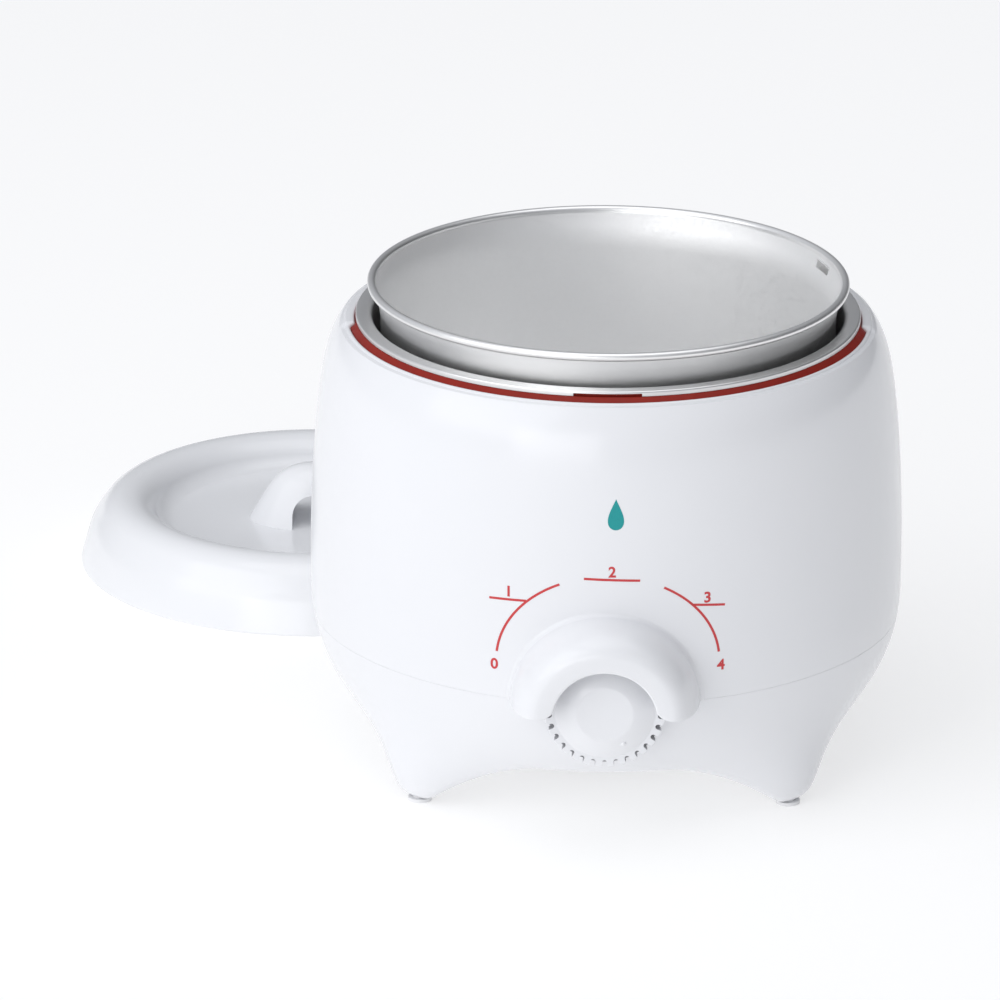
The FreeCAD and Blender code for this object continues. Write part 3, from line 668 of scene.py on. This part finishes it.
def knob_ring(radius, depth, slotted):
    """One ring of the knob's surface, drawn in wherever a slot cuts it."""
    row = []
    for angle in knob_angles():
        near = min(radius, slot_limit(angle)) if slotted else radius
        row.append((near * math.sin(angle), -depth, SEAM + near * math.cos(angle)))
    return row


def dial_knob():
    """The knob: a slotted rim with a thin web behind it, a domed boss and a flat round face."""
    recess = KNOB_BACK + 2.0
    web = KNOB_BACK + WEB_DEPTH
    rows = [knob_ring(0.0, recess, False), knob_ring(KNOB_RECESS, recess, False)]
    rows += [knob_ring(radius, KNOB_BACK, False) for radius in (KNOB_RECESS, WEB_RADIUS)]
    rows.append(knob_ring(WEB_RADIUS, web, False))
    corners = [(WEB_RADIUS, web, 0), (KNOB_RADIUS, web, 0.3), (KNOB_RADIUS, KNOB_RIM_FRONT, 0.7)]
    corners.append((SLOT_FLOOR_RADIUS - 0.3, KNOB_RIM_FRONT, 0))
    rows += [knob_ring(radius, depth, True) for radius, depth in rounded_path(corners, 5)]
    for step in range(21):
        radius = BOSS_RADIUS - (BOSS_RADIUS - KNOB_FACE_RADIUS) * step / 20
        rows.append(knob_ring(radius, knob_front(radius), False))
    rows += [knob_ring(radius, KNOB_FRONT, False) for radius in (7.4, 6.8, 4.0, 0.0)]
    return grid("dial_knob", rows, False, 32)


# the mask for the painted shade in the knob's slots: the slot walls and the web's front
def in_slot(spot):
    """True for a point of the knob, in metres, that lies inside one of its slots."""
    x = spot.x / MM
    rise = spot.z / MM - SEAM
    depth = -spot.y / MM
    pitch = 2 * math.pi / KNOB_SLOTS
    off = (math.atan2(x, rise) + pitch / 2) % pitch - pitch / 2
    across = abs(off) * (SLOT_FLOOR_RADIUS + 1.0) < SLOT_WIDTH / 2 + 0.01
    deep = KNOB_BACK + 0.3 < depth < KNOB_RIM_FRONT - 0.05
    return across and deep and math.hypot(x, rise) > SLOT_FLOOR_RADIUS - 0.05


def paint_shade_in_slots(thing, material):
    """Painted shade: a second, darker and duller material inside the knob's slots, standing in for their
    shadow.
    """
    thing.data.materials.append(material)
    for polygon in thing.data.polygons:
        if in_slot(polygon.center):
            polygon.material_index = 1


def index_dot():
    """The small raised dot on the knob that points at the scale."""
    depth = knob_front(math.hypot(DOT_X, DOT_DROP))
    middle = SEAM - DOT_DROP
    rows = [[(DOT_X, 1.0 - depth, middle)] * 32]
    turns = [2 * math.pi * k / 32 for k in range(32)]
    for step in range(-1, 9):
        turn = math.radians(max(90 * step / 8, 0))
        radius = DOT_RADIUS * math.cos(turn)
        out = depth - 0.8 if step < 0 else depth - 0.1 + DOT_RISE * math.sin(turn)
        rows.append([(DOT_X + radius * math.cos(a), -out, middle + radius * math.sin(a)) for a in turns])
    return grid("index_dot", rows, False, 40)


# ---------------------------------------------------------------- well, gasket and pot


def well():
    """The spun well with its flat flange and down-turned lip."""
    outside = WELL_INNER + SHEET
    under = FLANGE_TOP - SHEET
    corners = [
        (0.0, WELL_FLOOR - SHEET, 0),
        (outside, WELL_FLOOR - SHEET, 3.0),
        (outside, under, 0.7),
        (FLANGE_RADIUS - SHEET, under, 0.3),
        (FLANGE_RADIUS - SHEET, FLANGE_TOP - LIP_DROP, 0),
        (FLANGE_RADIUS, FLANGE_TOP - LIP_DROP, 0),
        (FLANGE_RADIUS, FLANGE_TOP, 0.55),
        (WELL_INNER, FLANGE_TOP, 1.6),
        (WELL_INNER, WELL_FLOOR, 2.2),
        (0.0, WELL_FLOOR, 0),
    ]
    body = lathe("heating_well_spun", rounded_path(corners, 5), 320, closed=False)
    sides = (-NOTCH_HALF_WIDTH, NOTCH_HALF_WIDTH)
    notch = cuboid("lip_notch", sides, (-76.0, -70.6), (under - 1.0, under + 0.12))
    return carve(body, [notch])


def gasket_column(angle):
    """One slice of the gasket; round the back the housing's crest covers its outer part."""
    outer = opening(angle) - GASKET_GAP
    inner = WELL_INNER + SHEET + 0.5
    lip = FLANGE_RADIUS - SHEET - GASKET_GAP
    flat = GASKET_FLAT + 0.7 * (outer - REAR_OPENING + GASKET_GAP) / (OPENING_RADIUS - REAR_OPENING)
    corners = [
        (inner, SHELF_TOP, 0),
        (outer, SHELF_TOP, 0),
        (outer, flat, 0.2),
        (FLANGE_RADIUS + GASKET_GAP, GASKET_TOP, 0.1),
        (lip, GASKET_TOP, 0),
        (lip, FLANGE_TOP - SHEET, 0),
        (inner, FLANGE_TOP - SHEET, 0),
    ]
    return rounded_path(corners, 4)


def gasket():
    """The red silicone ring between the flange's lip and the housing's crest."""
    return from_columns("silicone_gasket", gasket_column)


def pot():
    """The lift-out pot with its rolled bead and the pressed pocket for a lifting bail."""
    inside = POT_RADIUS - POT_WALL
    neck = BEAD_CIRCLE - BEAD_RADIUS - 0.2
    corners = [(0.0, POT_BOTTOM, 0), (POT_RADIUS, POT_BOTTOM, 4.0)]
    corners += [(POT_RADIUS, POT_FLARE_START, POT_FLARE), (neck + POT_WALL, BEAD_HEIGHT - 1.1, 0)]
    profile = rounded_path(corners, 12)
    for step in range(1, 20):
        turn = math.radians(BEAD_START + BEAD_SWEEP * step / 19)
        rise = BEAD_RADIUS * math.sin(turn)
        profile.append((BEAD_CIRCLE + BEAD_RADIUS * math.cos(turn), BEAD_HEIGHT + rise))
    corners = [(neck + 0.1, BEAD_HEIGHT - 0.6, 0), (inside, POT_FLARE_START, POT_FLARE)]
    corners += [(inside, POT_BOTTOM + POT_WALL, 3.5), (0.0, POT_BOTTOM + POT_WALL, 0)]
    profile += rounded_path(corners, 12)
    body = lathe("wax_pot_spun", profile, 320, closed=False)
    pocket = cuboid("pocket", (65.6, 68.5), (-4.9, 4.9), (134.2, 137.0))
    slot = cuboid("bail_slot", (60.0, 68.1), (-4.5, 4.5), (134.6, 136.7))
    for blank in (pocket, slot):
        blank.data.transform(Matrix.Rotation(math.radians(BAIL_ANGLE), 4, "Z"))
    carve(body, [pocket], operation="UNION")
    return carve(body, [slot])


def polish_outside(thing, material):
    """A second, polished finish on the bead and on the faces that look away from the axis."""
    thing.data.materials.append(material)
    for polygon in thing.data.polygons:
        middle = polygon.center
        outward = middle.x * polygon.normal.x + middle.y * polygon.normal.y
        if outward > 0 or middle.z > (BEAD_HEIGHT - 0.5) * MM:
            polygon.material_index = 1


# ---------------------------------------------------------------- lid


def lid():
    """The dished lid: a sloping skirt, a round crest and a flat dish."""
    corners = [
        (LID_RADIUS - LID_WALL, 0.0, 0),
        (LID_RADIUS, 0.0, 0.6),
        (LID_SKIRT_RADIUS, LID_SKIRT_HEIGHT, 16.0),
        (LID_CREST_OUT, LID_HEIGHT, 9.6),
        (LID_CREST_IN, LID_HEIGHT, 8.2),
        (LID_DISH_RADIUS, DISH_HEIGHT, 6.0),
        (0.0, DISH_HEIGHT, 0),
    ]
    inner = [
        (0.0, DISH_HEIGHT - LID_WALL, 0),
        (LID_DISH_RADIUS + 1.4, DISH_HEIGHT - LID_WALL, 2.5),
        (LID_CREST_IN + 1.4, LID_HEIGHT - LID_WALL, 3.5),
        (LID_CREST_OUT - 1.0, LID_HEIGHT - LID_WALL, 4.5),
        (LID_SKIRT_RADIUS - LID_WALL, LID_SKIRT_HEIGHT - 0.8, 6.0),
        (LID_RADIUS - LID_WALL, 0.0, 0),
    ]
    profile = rounded_path(corners, 10) + rounded_path(inner, 8)[:-1]
    return lathe("lid_dished", profile, 320, LID_X, LID_Y)


def grip_share(height):
    """The grip's width at a height over the dish, as a share of its foot's."""
    rise = min(height / GRIP_RISE, 1.0)
    cone = 1.0 - GRIP_TAPER * rise
    return cone * math.sqrt(1 - rise**GRIP_TOP_POWER)


def lid_grip():
    """The moulded grip: an oval cone with a finger tunnel through it."""
    rows = []
    count = 44
    for step in range(count + 1):
        height = GRIP_RISE * math.sin(math.pi / 2 * step / count)
        share = grip_share(height)
        row = []
        for k in range(128):
            angle = 2 * math.pi * k / 128
            x = LID_X + GRIP_LENGTH * share * math.cos(angle)
            y = LID_Y + GRIP_WIDTH * share * math.sin(angle)
            row.append((x, y, DISH_HEIGHT + height))
        rows.append(row)
    rows.insert(0, [(LID_X, LID_Y, DISH_HEIGHT)] * 128)
    body = grid("lid_grip", rows, False, 40)
    outline = [(LID_X - TUNNEL_RADIUS, DISH_HEIGHT - 2)]
    spring = DISH_HEIGHT + TUNNEL_RISE - TUNNEL_RADIUS
    for step in range(33):
        angle = math.pi * (1 - step / 32)
        outline.append((LID_X + TUNNEL_RADIUS * math.cos(angle), spring + TUNNEL_RADIUS * math.sin(angle)))
    outline.append((LID_X + TUNNEL_RADIUS, DISH_HEIGHT - 2))
    carve(body, [prism("finger_tunnel", outline, LID_Y - 30, LID_Y + 30)])
    bevel(body, GRIP_EDGE, 45, 4)
    return body


# ---------------------------------------------------------------- printed scale


def on_wall(x, z, lift):
    """A point over the housing's front wall."""
    return x, -(hood_wall_depth(x, z) + lift), z


def printed_line(name, spots):
    """A thin printed stroke of even width along (x, z) spots on the front wall."""
    rows = []
    for i, (x, z) in enumerate(spots):
        before = Vector(spots[max(i - 1, 0)])
        after = Vector(spots[min(i + 1, len(spots) - 1)])
        along = (after - before).normalized()
        side = Vector((-along.y, along.x)) * LINE_WIDTH / 2
        row = []
        for way, lift in ((1, PRINT_LIFT), (1, PRINT_THICK), (-1, PRINT_THICK), (-1, PRINT_LIFT)):
            row.append(on_wall(x + side.x * way, z + side.y * way, lift))
        rows.append(row)
    return sheet_grid(name, rows)


def scale_arc(name, first, last):
    """A printed arc of the scale between two angles, in degrees."""
    spots = []
    for step in range(49):
        angle = math.radians(first + (last - first) * step / 48)
        x = SCALE_X + SCALE_HALF_WIDTH * math.cos(angle)
        spots.append((x, SCALE_Z + SCALE_RISE * math.sin(angle)))
    return printed_line(name, spots)


def underline(name, start, end):
    """A printed straight line between two (x, z) spots."""
    spots = [Vector(start).lerp(Vector(end), step / 12) for step in range(13)]
    return printed_line(name, spots)


def numeral(name, text, x, z):
    """A printed numeral, wrapped onto the front wall."""
    curve = bpy.data.curves.new(name, "FONT")
    curve.body = text
    curve.size = NUMERAL_HEIGHT / CAPITAL_SHARE
    curve.align_x = "CENTER"
    curve.align_y = "CENTER"
    curve.extrude = 0.5
    curve.offset = NUMERAL_BOLDNESS * NUMERAL_HEIGHT
    letter = bpy.data.objects.new(name, curve)
    bpy.context.scene.collection.objects.link(letter)
    bpy.context.view_layer.update()
    graph = bpy.context.evaluated_depsgraph_get()
    mesh = bpy.data.meshes.new_from_object(letter.evaluated_get(graph))
    bpy.data.objects.remove(letter)
    for vertex in mesh.vertices:
        lift = PRINT_THICK if vertex.co.z > 0 else PRINT_LIFT
        vertex.co = Vector(on_wall(x + vertex.co.x, z + vertex.co.y, lift)) * MM
    thing = bpy.data.objects.new(name, mesh)
    bpy.context.scene.collection.objects.link(thing)
    return thing


def droplet(name, x, z, size):
    """A plain wax drop, printed where the front carries its mark."""
    outline = []
    for step in range(48):
        turn = 2 * math.pi * step / 48
        wide = math.sin(turn) * math.sin(turn / 2) ** 1.5
        outline.append((x + size * 0.36 * wide, z + size * 0.5 * math.cos(turn)))
    rows = [[on_wall(u, v, lift) for u, v in outline] for lift in (PRINT_LIFT, PRINT_THICK)]
    return sheet_grid(name, rows)


# ---------------------------------------------------------------- materials


class Shader:
    """A procedural material under construction."""

    def __init__(self, name, colour, roughness, metallic=0.0, coat=0.0):
        self.material = bpy.data.materials.new(name)
        self.material.use_nodes = True
        self.tree = self.material.node_tree
        self.shader = self.tree.nodes["Principled BSDF"]
        self.shader.inputs["Base Color"].default_value = (*colour, 1.0)
        self.shader.inputs["Roughness"].default_value = roughness
        self.shader.inputs["Metallic"].default_value = metallic
        self.shader.inputs["Coat Weight"].default_value = coat
        self.shader.inputs["Coat Roughness"].default_value = 0.06
        self.place = self.tree.nodes.new("ShaderNodeTexCoord").outputs["Object"]

    def node(self, kind, **settings):
        """A new node with the given settings."""
        made = self.tree.nodes.new(kind)
        for key, value in settings.items():
            setattr(made, key, value)
        return made

    def link(self, source, target):
        """Join an output to an input."""
        self.tree.links.new(source, target)

    def noise(self, scale, detail=3.0, vector=None):
        """Noise between 0 and 1."""
        made = self.node("ShaderNodeTexNoise")
        made.inputs["Scale"].default_value = scale
        made.inputs["Detail"].default_value = detail
        self.link(vector or self.place, made.inputs["Vector"])
        return made.outputs["Fac"]

    def ranged(self, source, low, high):
        """A 0.3 to 0.7 signal moved onto low to high."""
        made = self.node("ShaderNodeMapRange")
        made.inputs["From Min"].default_value = 0.3
        made.inputs["From Max"].default_value = 0.7
        made.inputs["To Min"].default_value = low
        made.inputs["To Max"].default_value = high
        self.link(source, made.inputs["Value"])
        return made.outputs["Result"]

    def tint(self, source, first, second):
        """The base colour, mixed between two colours by a signal."""
        made = self.node("ShaderNodeMix", data_type="RGBA")
        made.inputs["A"].default_value = (*first, 1.0)
        made.inputs["B"].default_value = (*second, 1.0)
        self.link(source, made.inputs["Factor"])
        self.link(made.outputs["Result"], self.shader.inputs["Base Color"])

    def roughen(self, source, low, high):
        """Roughness that follows a signal between two values."""
        self.link(self.ranged(source, low, high), self.shader.inputs["Roughness"])

    def bump(self, source, strength, distance):
        """Fine surface relief; distance is in millimetres."""
        made = self.node("ShaderNodeBump")
        made.inputs["Strength"].default_value = strength
        made.inputs["Distance"].default_value = distance * MM
        self.link(source, made.inputs["Height"])
        self.link(made.outputs["Normal"], self.shader.inputs["Normal"])

    def rings(self, scale):
        """Fine lathe rings: noise that changes only with height and radius."""
        split = self.node("ShaderNodeSeparateXYZ")
        self.link(self.place, split.inputs["Vector"])
        flat = self.node("ShaderNodeCombineXYZ")
        self.link(split.outputs["X"], flat.inputs["X"])
        self.link(split.outputs["Y"], flat.inputs["Y"])
        length = self.node("ShaderNodeVectorMath", operation="LENGTH")
        self.link(flat.outputs["Vector"], length.inputs[0])
        join = self.node("ShaderNodeCombineXYZ")
        self.link(length.outputs["Value"], join.inputs["X"])
        self.link(split.outputs["Z"], join.inputs["Z"])
        return self.noise(scale, 2.0, join.outputs["Vector"])


def moulded_plastic(name, colour, shade, roughness=0.21, coat=0.12, glow=0.06):
    """Gloss moulded plastic: a faint flow tint, uneven gloss and a shallow orange peel."""
    made = Shader(name, colour, roughness, coat=coat)
    made.tint(made.noise(14.0, 2.0), colour, shade)
    made.roughen(made.noise(55.0, 3.0), roughness * 0.85, roughness * 1.2)
    made.bump(made.noise(260.0, 2.0), 0.35, 0.012)
    made.shader.inputs["Subsurface Weight"].default_value = glow
    made.shader.inputs["Subsurface Radius"].default_value = (0.004, 0.004, 0.004)
    return made.material


def spun_metal(name, colour, shade, low, high, ring_scale=2600.0, relief=0.01):
    """Spun sheet: lathe rings in the gloss and the relief, with soft cloudy variation."""
    made = Shader(name, colour, low, metallic=1.0)
    rings = made.rings(ring_scale)
    made.tint(made.noise(30.0, 4.0), colour, shade)
    made.roughen(rings, low, high)
    made.bump(rings, 0.25, relief)
    return made.material


def cast_metal(name, colour, shade, low, high):
    """Matt metal with a fine sandy grain."""
    made = Shader(name, colour, low, metallic=1.0)
    grains = made.noise(900.0, 4.0)
    made.tint(made.noise(26.0, 3.0), colour, shade)
    made.roughen(grains, low, high)
    made.bump(grains, 0.4, 0.02)
    return made.material


def matt_solid(name, colour, shade, roughness, grain, relief):
    """Rubber, felt, mica, ceramic and lead insulation, and the painted shade in the knob's slots: a soft
    mottled surface.
    """
    made = Shader(name, colour, roughness)
    grains = made.noise(grain, 4.0)
    made.tint(grains, colour, shade)
    made.roughen(grains, roughness * 0.9, min(roughness * 1.1, 1.0))
    made.bump(grains, 0.5, relief)
    return made.material


def silicone(name, colour, shade):
    """Translucent red silicone with a faint bloom."""
    made = Shader(name, colour, 0.45)
    made.shader.inputs["Specular IOR Level"].default_value = 0.25
    made.tint(made.noise(120.0, 3.0), colour, shade)
    made.roughen(made.noise(400.0, 3.0), 0.4, 0.55)
    made.bump(made.noise(700.0, 3.0), 0.3, 0.02)
    made.shader.inputs["Subsurface Weight"].default_value = 0.15
    made.shader.inputs["Subsurface Radius"].default_value = (0.002, 0.0006, 0.0004)
    return made.material


def printed_ink(name, colour, shade):
    """Pad-printed ink, a little uneven in depth."""
    made = Shader(name, colour, 0.35)
    made.tint(made.noise(900.0, 3.0), colour, shade)
    made.roughen(made.noise(500.0, 2.0), 0.3, 0.45)
    return made.material


WHITE = (0.83, 0.835, 0.855)
WHITE_SHADE = (0.80, 0.808, 0.835)


def plastics():
    """The moulded plastics, and the painted shade: a darker, duller grey inside the knob's slots."""
    black = (0.03, 0.03, 0.032)
    black_shade = (0.022, 0.022, 0.024)
    painted_shade_tone = (0.42, 0.425, 0.44)
    painted_shade_dark = (0.37, 0.375, 0.39)
    return {
        "white_plastic": moulded_plastic("white_plastic_look", WHITE, WHITE_SHADE),
        "knob_plastic": moulded_plastic("knob_plastic_look", WHITE, WHITE_SHADE, glow=0.0),
        # painted shade: a darker grey that stands in for the shadow inside the knob's slots
        "slot_painted_shade": matt_solid("slot_painted_shade_look", painted_shade_tone, painted_shade_dark, 0.6, 400.0, 0.01),
        "lid_plastic": moulded_plastic("lid_plastic_look", (0.84, 0.845, 0.86), (0.81, 0.818, 0.84)),
        "inlet_plastic": moulded_plastic("inlet_plastic_look", black, black_shade, 0.42, 0.0, 0.0),
    }


def metals():
    """The metals, and the polish on the pot's bead and outside."""
    pale = (0.95, 0.95, 0.945)
    bright = (0.9, 0.9, 0.895)
    bright_shade = (0.84, 0.84, 0.84)
    return {
        "screw_steel": cast_metal("screw_steel_look", (0.62, 0.62, 0.63), (0.55, 0.55, 0.56), 0.3, 0.42),
        "well_metal": spun_metal("well_metal_look", (0.82, 0.82, 0.815), (0.76, 0.76, 0.76), 0.28, 0.36),
        "pot_aluminium": cast_metal("pot_aluminium_look", pale, (0.91, 0.91, 0.91), 0.5, 0.65),
        "pot_polish": spun_metal("pot_polish_look", bright, bright_shade, 0.28, 0.38, 1800.0, 0.004),
        "terminal_brass": cast_metal("terminal_brass_look", (0.78, 0.6, 0.3), (0.7, 0.52, 0.24), 0.25, 0.4),
        "bracket_steel": cast_metal("bracket_steel_look", (0.6, 0.61, 0.62), (0.52, 0.53, 0.54), 0.3, 0.45),
        "fuse_case": cast_metal("fuse_case_look", (0.7, 0.66, 0.58), (0.6, 0.57, 0.5), 0.3, 0.4),
    }


def soft_solids():
    """The silicone, rubber, mica, felt and ceramic."""
    milky = (0.86, 0.86, 0.87)
    bone = (0.86, 0.83, 0.76)
    bone_shade = (0.78, 0.75, 0.68)
    return {
        "foot_rubber": matt_solid("foot_rubber_look", milky, (0.8, 0.8, 0.81), 0.7, 500.0, 0.03),
        "gasket_silicone": silicone("gasket_silicone_look", (0.3, 0.014, 0.005), (0.22, 0.011, 0.005)),
        "mica": matt_solid("mica_look", (0.62, 0.56, 0.45), (0.5, 0.44, 0.34), 0.5, 300.0, 0.02),
        "felt": matt_solid("felt_look", (0.82, 0.8, 0.74), (0.7, 0.68, 0.62), 0.95, 700.0, 0.12),
        "thermostat_ceramic": matt_solid("ceramic_look", bone, bone_shade, 0.55, 250.0, 0.02),
    }


def leads():
    """The lead insulation; the green lead is mottled with yellow."""
    colours = {
        "lead_brown": ((0.16, 0.075, 0.035), (0.13, 0.06, 0.03), 400.0),
        "lead_red": ((0.45, 0.03, 0.03), (0.38, 0.025, 0.025), 400.0),
        "lead_blue": ((0.03, 0.09, 0.42), (0.025, 0.075, 0.36), 400.0),
        "lead_green": ((0.1, 0.34, 0.08), (0.3, 0.36, 0.05), 90.0),
    }
    made = {}
    for name, (colour, shade, grain) in colours.items():
        made[name] = matt_solid(f"{name}_look", colour, shade, 0.45, grain, 0.01)
    return made


def inks():
    """The two printing inks."""
    return {
        "red_ink": printed_ink("red_ink_look", (0.62, 0.045, 0.05), (0.55, 0.04, 0.045)),
        "teal_ink": printed_ink("teal_ink_look", (0.0, 0.32, 0.32), (0.0, 0.27, 0.28)),
    }


def materials():
    """Every material by its record slot, with the painted shade in the knob's slots, the pot's second,
    polished finish and the inks.
    """
    return {**plastics(), **metals(), **soft_solids(), **leads(), **inks()}


def paint(thing, material):
    """Give a mesh one material."""
    thing.data.materials.clear()
    thing.data.materials.append(material)


def paint_frame(looks):
    """Give every CAD node the material of its record slot."""
    slots = {row["node"]: row["material_slot"] for row in frame["record"]["subparts"]}
    for name, thing in frame["nodes"].items():
        paint(thing, looks[slots[name]])


def add_piece(thing, body, slot, looks, stands_for=(), ink=None):
    """Finish a piece: its material, the body that it rides on and the CAD nodes it stands for."""
    paint(thing, looks[ink or slot])
    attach(thing, body)
    if stands_for:
        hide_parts(*stands_for)


# ---------------------------------------------------------------- assembly


def build_housing(looks):
    """The base, the upper shell with its hood, and the inlet's pad."""
    base = carve(from_columns("housing_base", base_column), base_holes() + [inlet_window()])
    add_piece(base, "warmer", "white_plastic", looks, ["base_shell"])
    upper = carve(from_columns("housing_upper", upper_column), [inlet_window()])
    add_piece(upper, "warmer", "white_plastic", looks, ["upper_shell"])
    add_piece(dial_hood(), "warmer", "white_plastic", looks, ["upper_shell"])
    add_piece(inlet_pad("inlet_pad_lower", PAD_BOTTOM, SEAM - SEAM_STEP), "warmer", "white_plastic", looks)
    add_piece(inlet_pad("inlet_pad_upper", SEAM + SEAM_STEP, PAD_TOP), "warmer", "white_plastic", looks)


def build_dial(looks):
    """The knob and its dot, the printed scale and the printed drop."""
    knob = dial_knob()
    add_piece(knob, "dial", "knob_plastic", looks, ["knob"])
    # painted shade inside the knob's slots
    paint_shade_in_slots(knob, looks["slot_painted_shade"])
    add_piece(index_dot(), "dial", "knob_plastic", looks)
    strokes = [
        scale_arc("scale_arc_left", 174.5, 115.9),
        scale_arc("scale_arc_right", 60.2, 6.0),
        underline("scale_line_left", (-32.6, 70.9), (-22.3, 71.2)),
        underline("scale_line_top", (-6.2, 78.8), (9.5, 78.3)),
        underline("scale_line_right", (24.0, 70.3), (33.3, 69.3)),
        numeral("numeral_off", "0", -31.1, 51.3),
        numeral("numeral_one", "1", -27.2, 73.3),
        numeral("numeral_two", "2", 1.7, 80.7),
        numeral("numeral_three", "3", 28.4, 71.9),
        numeral("numeral_four", "4", 32.4, 51.4),
    ]
    for stroke in strokes:
        add_piece(stroke, "warmer", "white_plastic", looks, ink="red_ink")
    add_piece(droplet("wax_drop", 2.6, 97.5, 9.0), "warmer", "white_plastic", looks, ink="teal_ink")


def build_metalwork(looks):
    """The well, the gasket round it and the pot."""
    add_piece(well(), "warmer", "well_metal", looks, ["heating_well"])
    add_piece(gasket(), "warmer", "gasket_silicone", looks, ["rim_gasket"])
    spun = pot()
    add_piece(spun, "pot", "pot_aluminium", looks, ["wax_pot"])
    polish_outside(spun, looks["pot_polish"])


def build_lid(looks):
    """The lid and its grip."""
    add_piece(lid(), "lid", "lid_plastic", looks, ["lid_shell"])
    add_piece(lid_grip(), "lid", "lid_plastic", looks, ["lid_handle"])


# ---------------------------------------------------------------- floor, light and camera


def floor():
    """A plain pale floor."""
    mesh = bpy.data.meshes.new("floor")
    half = 6.0
    corners = [(-half, -half, 0), (half, -half, 0), (half, half, 0), (-half, half, 0)]
    mesh.from_pydata(corners, [], [(0, 1, 2, 3)])
    thing = bpy.data.objects.new("floor", mesh)
    bpy.context.scene.collection.objects.link(thing)
    look = Shader("floor_look", (0.62, 0.62, 0.62), 0.9)
    look.shader.inputs["Specular IOR Level"].default_value = 0.1
    look.shader.inputs["Emission Color"].default_value = (1, 1, 1, 1)
    look.shader.inputs["Emission Strength"].default_value = 0.46
    paint(thing, look.material)


def area_light(name, spot, target, width, height, power):
    """A white rectangular light at a spot, in metres, turned towards its target."""
    light = bpy.data.lights.new(name, "AREA")
    light.shape = "RECTANGLE"
    light.size = width
    light.size_y = height
    light.energy = power
    thing = bpy.data.objects.new(name, light)
    thing.location = spot
    thing.rotation_euler = (Vector(target) - Vector(spot)).to_track_quat("-Z", "Y").to_euler()
    bpy.context.scene.collection.objects.link(thing)


def pale_room():
    """An even pale surround, brighter on the key light's side and overhead."""
    world = bpy.data.worlds.new("studio")
    world.use_nodes = True
    tree = world.node_tree
    way = tree.nodes.new("ShaderNodeTexCoord").outputs["Generated"]
    slope = tree.nodes.new("ShaderNodeVectorMath")
    slope.operation = "DOT_PRODUCT"
    slope.inputs[1].default_value = (-0.65, -0.3, 0.7)
    tree.links.new(way, slope.inputs[0])
    level = tree.nodes.new("ShaderNodeMapRange")
    level.inputs["From Min"].default_value = -0.7
    level.inputs["From Max"].default_value = 1.0
    level.inputs["To Min"].default_value = 0.03
    level.inputs["To Max"].default_value = 0.8
    tree.links.new(slope.outputs["Value"], level.inputs["Value"])
    surround = tree.nodes["Background"]
    surround.inputs["Color"].default_value = (0.93, 0.95, 1.0, 1.0)
    tree.links.new(level.outputs["Result"], surround.inputs["Strength"])
    bpy.context.scene.world = world


def studio():
    """Plain soft studio light: a large key from the upper left, a top light and a pale room."""
    pale_room()
    middle = (0.0, 0.0, 0.08)
    area_light("key", (-1.5, -1.2, 1.15), middle, 2.0, 1.8, 13)
    area_light("top", (0.1, -0.2, 2.0), middle, 2.0, 1.6, 9)
    area_light("fill", (-0.9, -2.5, 0.5), middle, 1.6, 0.8, 8)
    bpy.context.scene.view_settings.view_transform = "Standard"
    bpy.context.scene.view_settings.look = "None"


LENS_RATIO = 9.26
SENSOR_WIDTH = 36.0
CAMERA_SPOT = (-0.003, -2.508, 0.962)
CAMERA_YAW = -0.011
CAMERA_PITCH = 0.341
CAMERA_ROLL = 0.005


def camera():
    """The photograph's point of view: a long lens, a little above the pot's rim."""
    level = math.cos(CAMERA_PITCH)
    ahead = Vector((math.sin(CAMERA_YAW) * level, math.cos(CAMERA_YAW) * level, -math.sin(CAMERA_PITCH)))
    right = Vector((math.cos(CAMERA_YAW), -math.sin(CAMERA_YAW), 0))
    up = right.cross(ahead)
    side = right * math.cos(CAMERA_ROLL) + up * math.sin(CAMERA_ROLL)
    top = up * math.cos(CAMERA_ROLL) - right * math.sin(CAMERA_ROLL)
    data = bpy.data.cameras.new("camera")
    data.sensor_width = SENSOR_WIDTH
    data.lens = LENS_RATIO * SENSOR_WIDTH
    data.clip_start = 0.1
    data.clip_end = 50.0
    thing = bpy.data.objects.new("camera", data)
    turn = Matrix((side, top, -ahead)).transposed()
    thing.matrix_world = Matrix.Translation(CAMERA_SPOT) @ turn.to_4x4()
    bpy.context.scene.collection.objects.link(thing)
    bpy.context.scene.camera = thing


looks = materials()
paint_frame(looks)
build_housing(looks)
build_dial(looks)
build_metalwork(looks)
build_lid(looks)
floor()
studio()
camera()
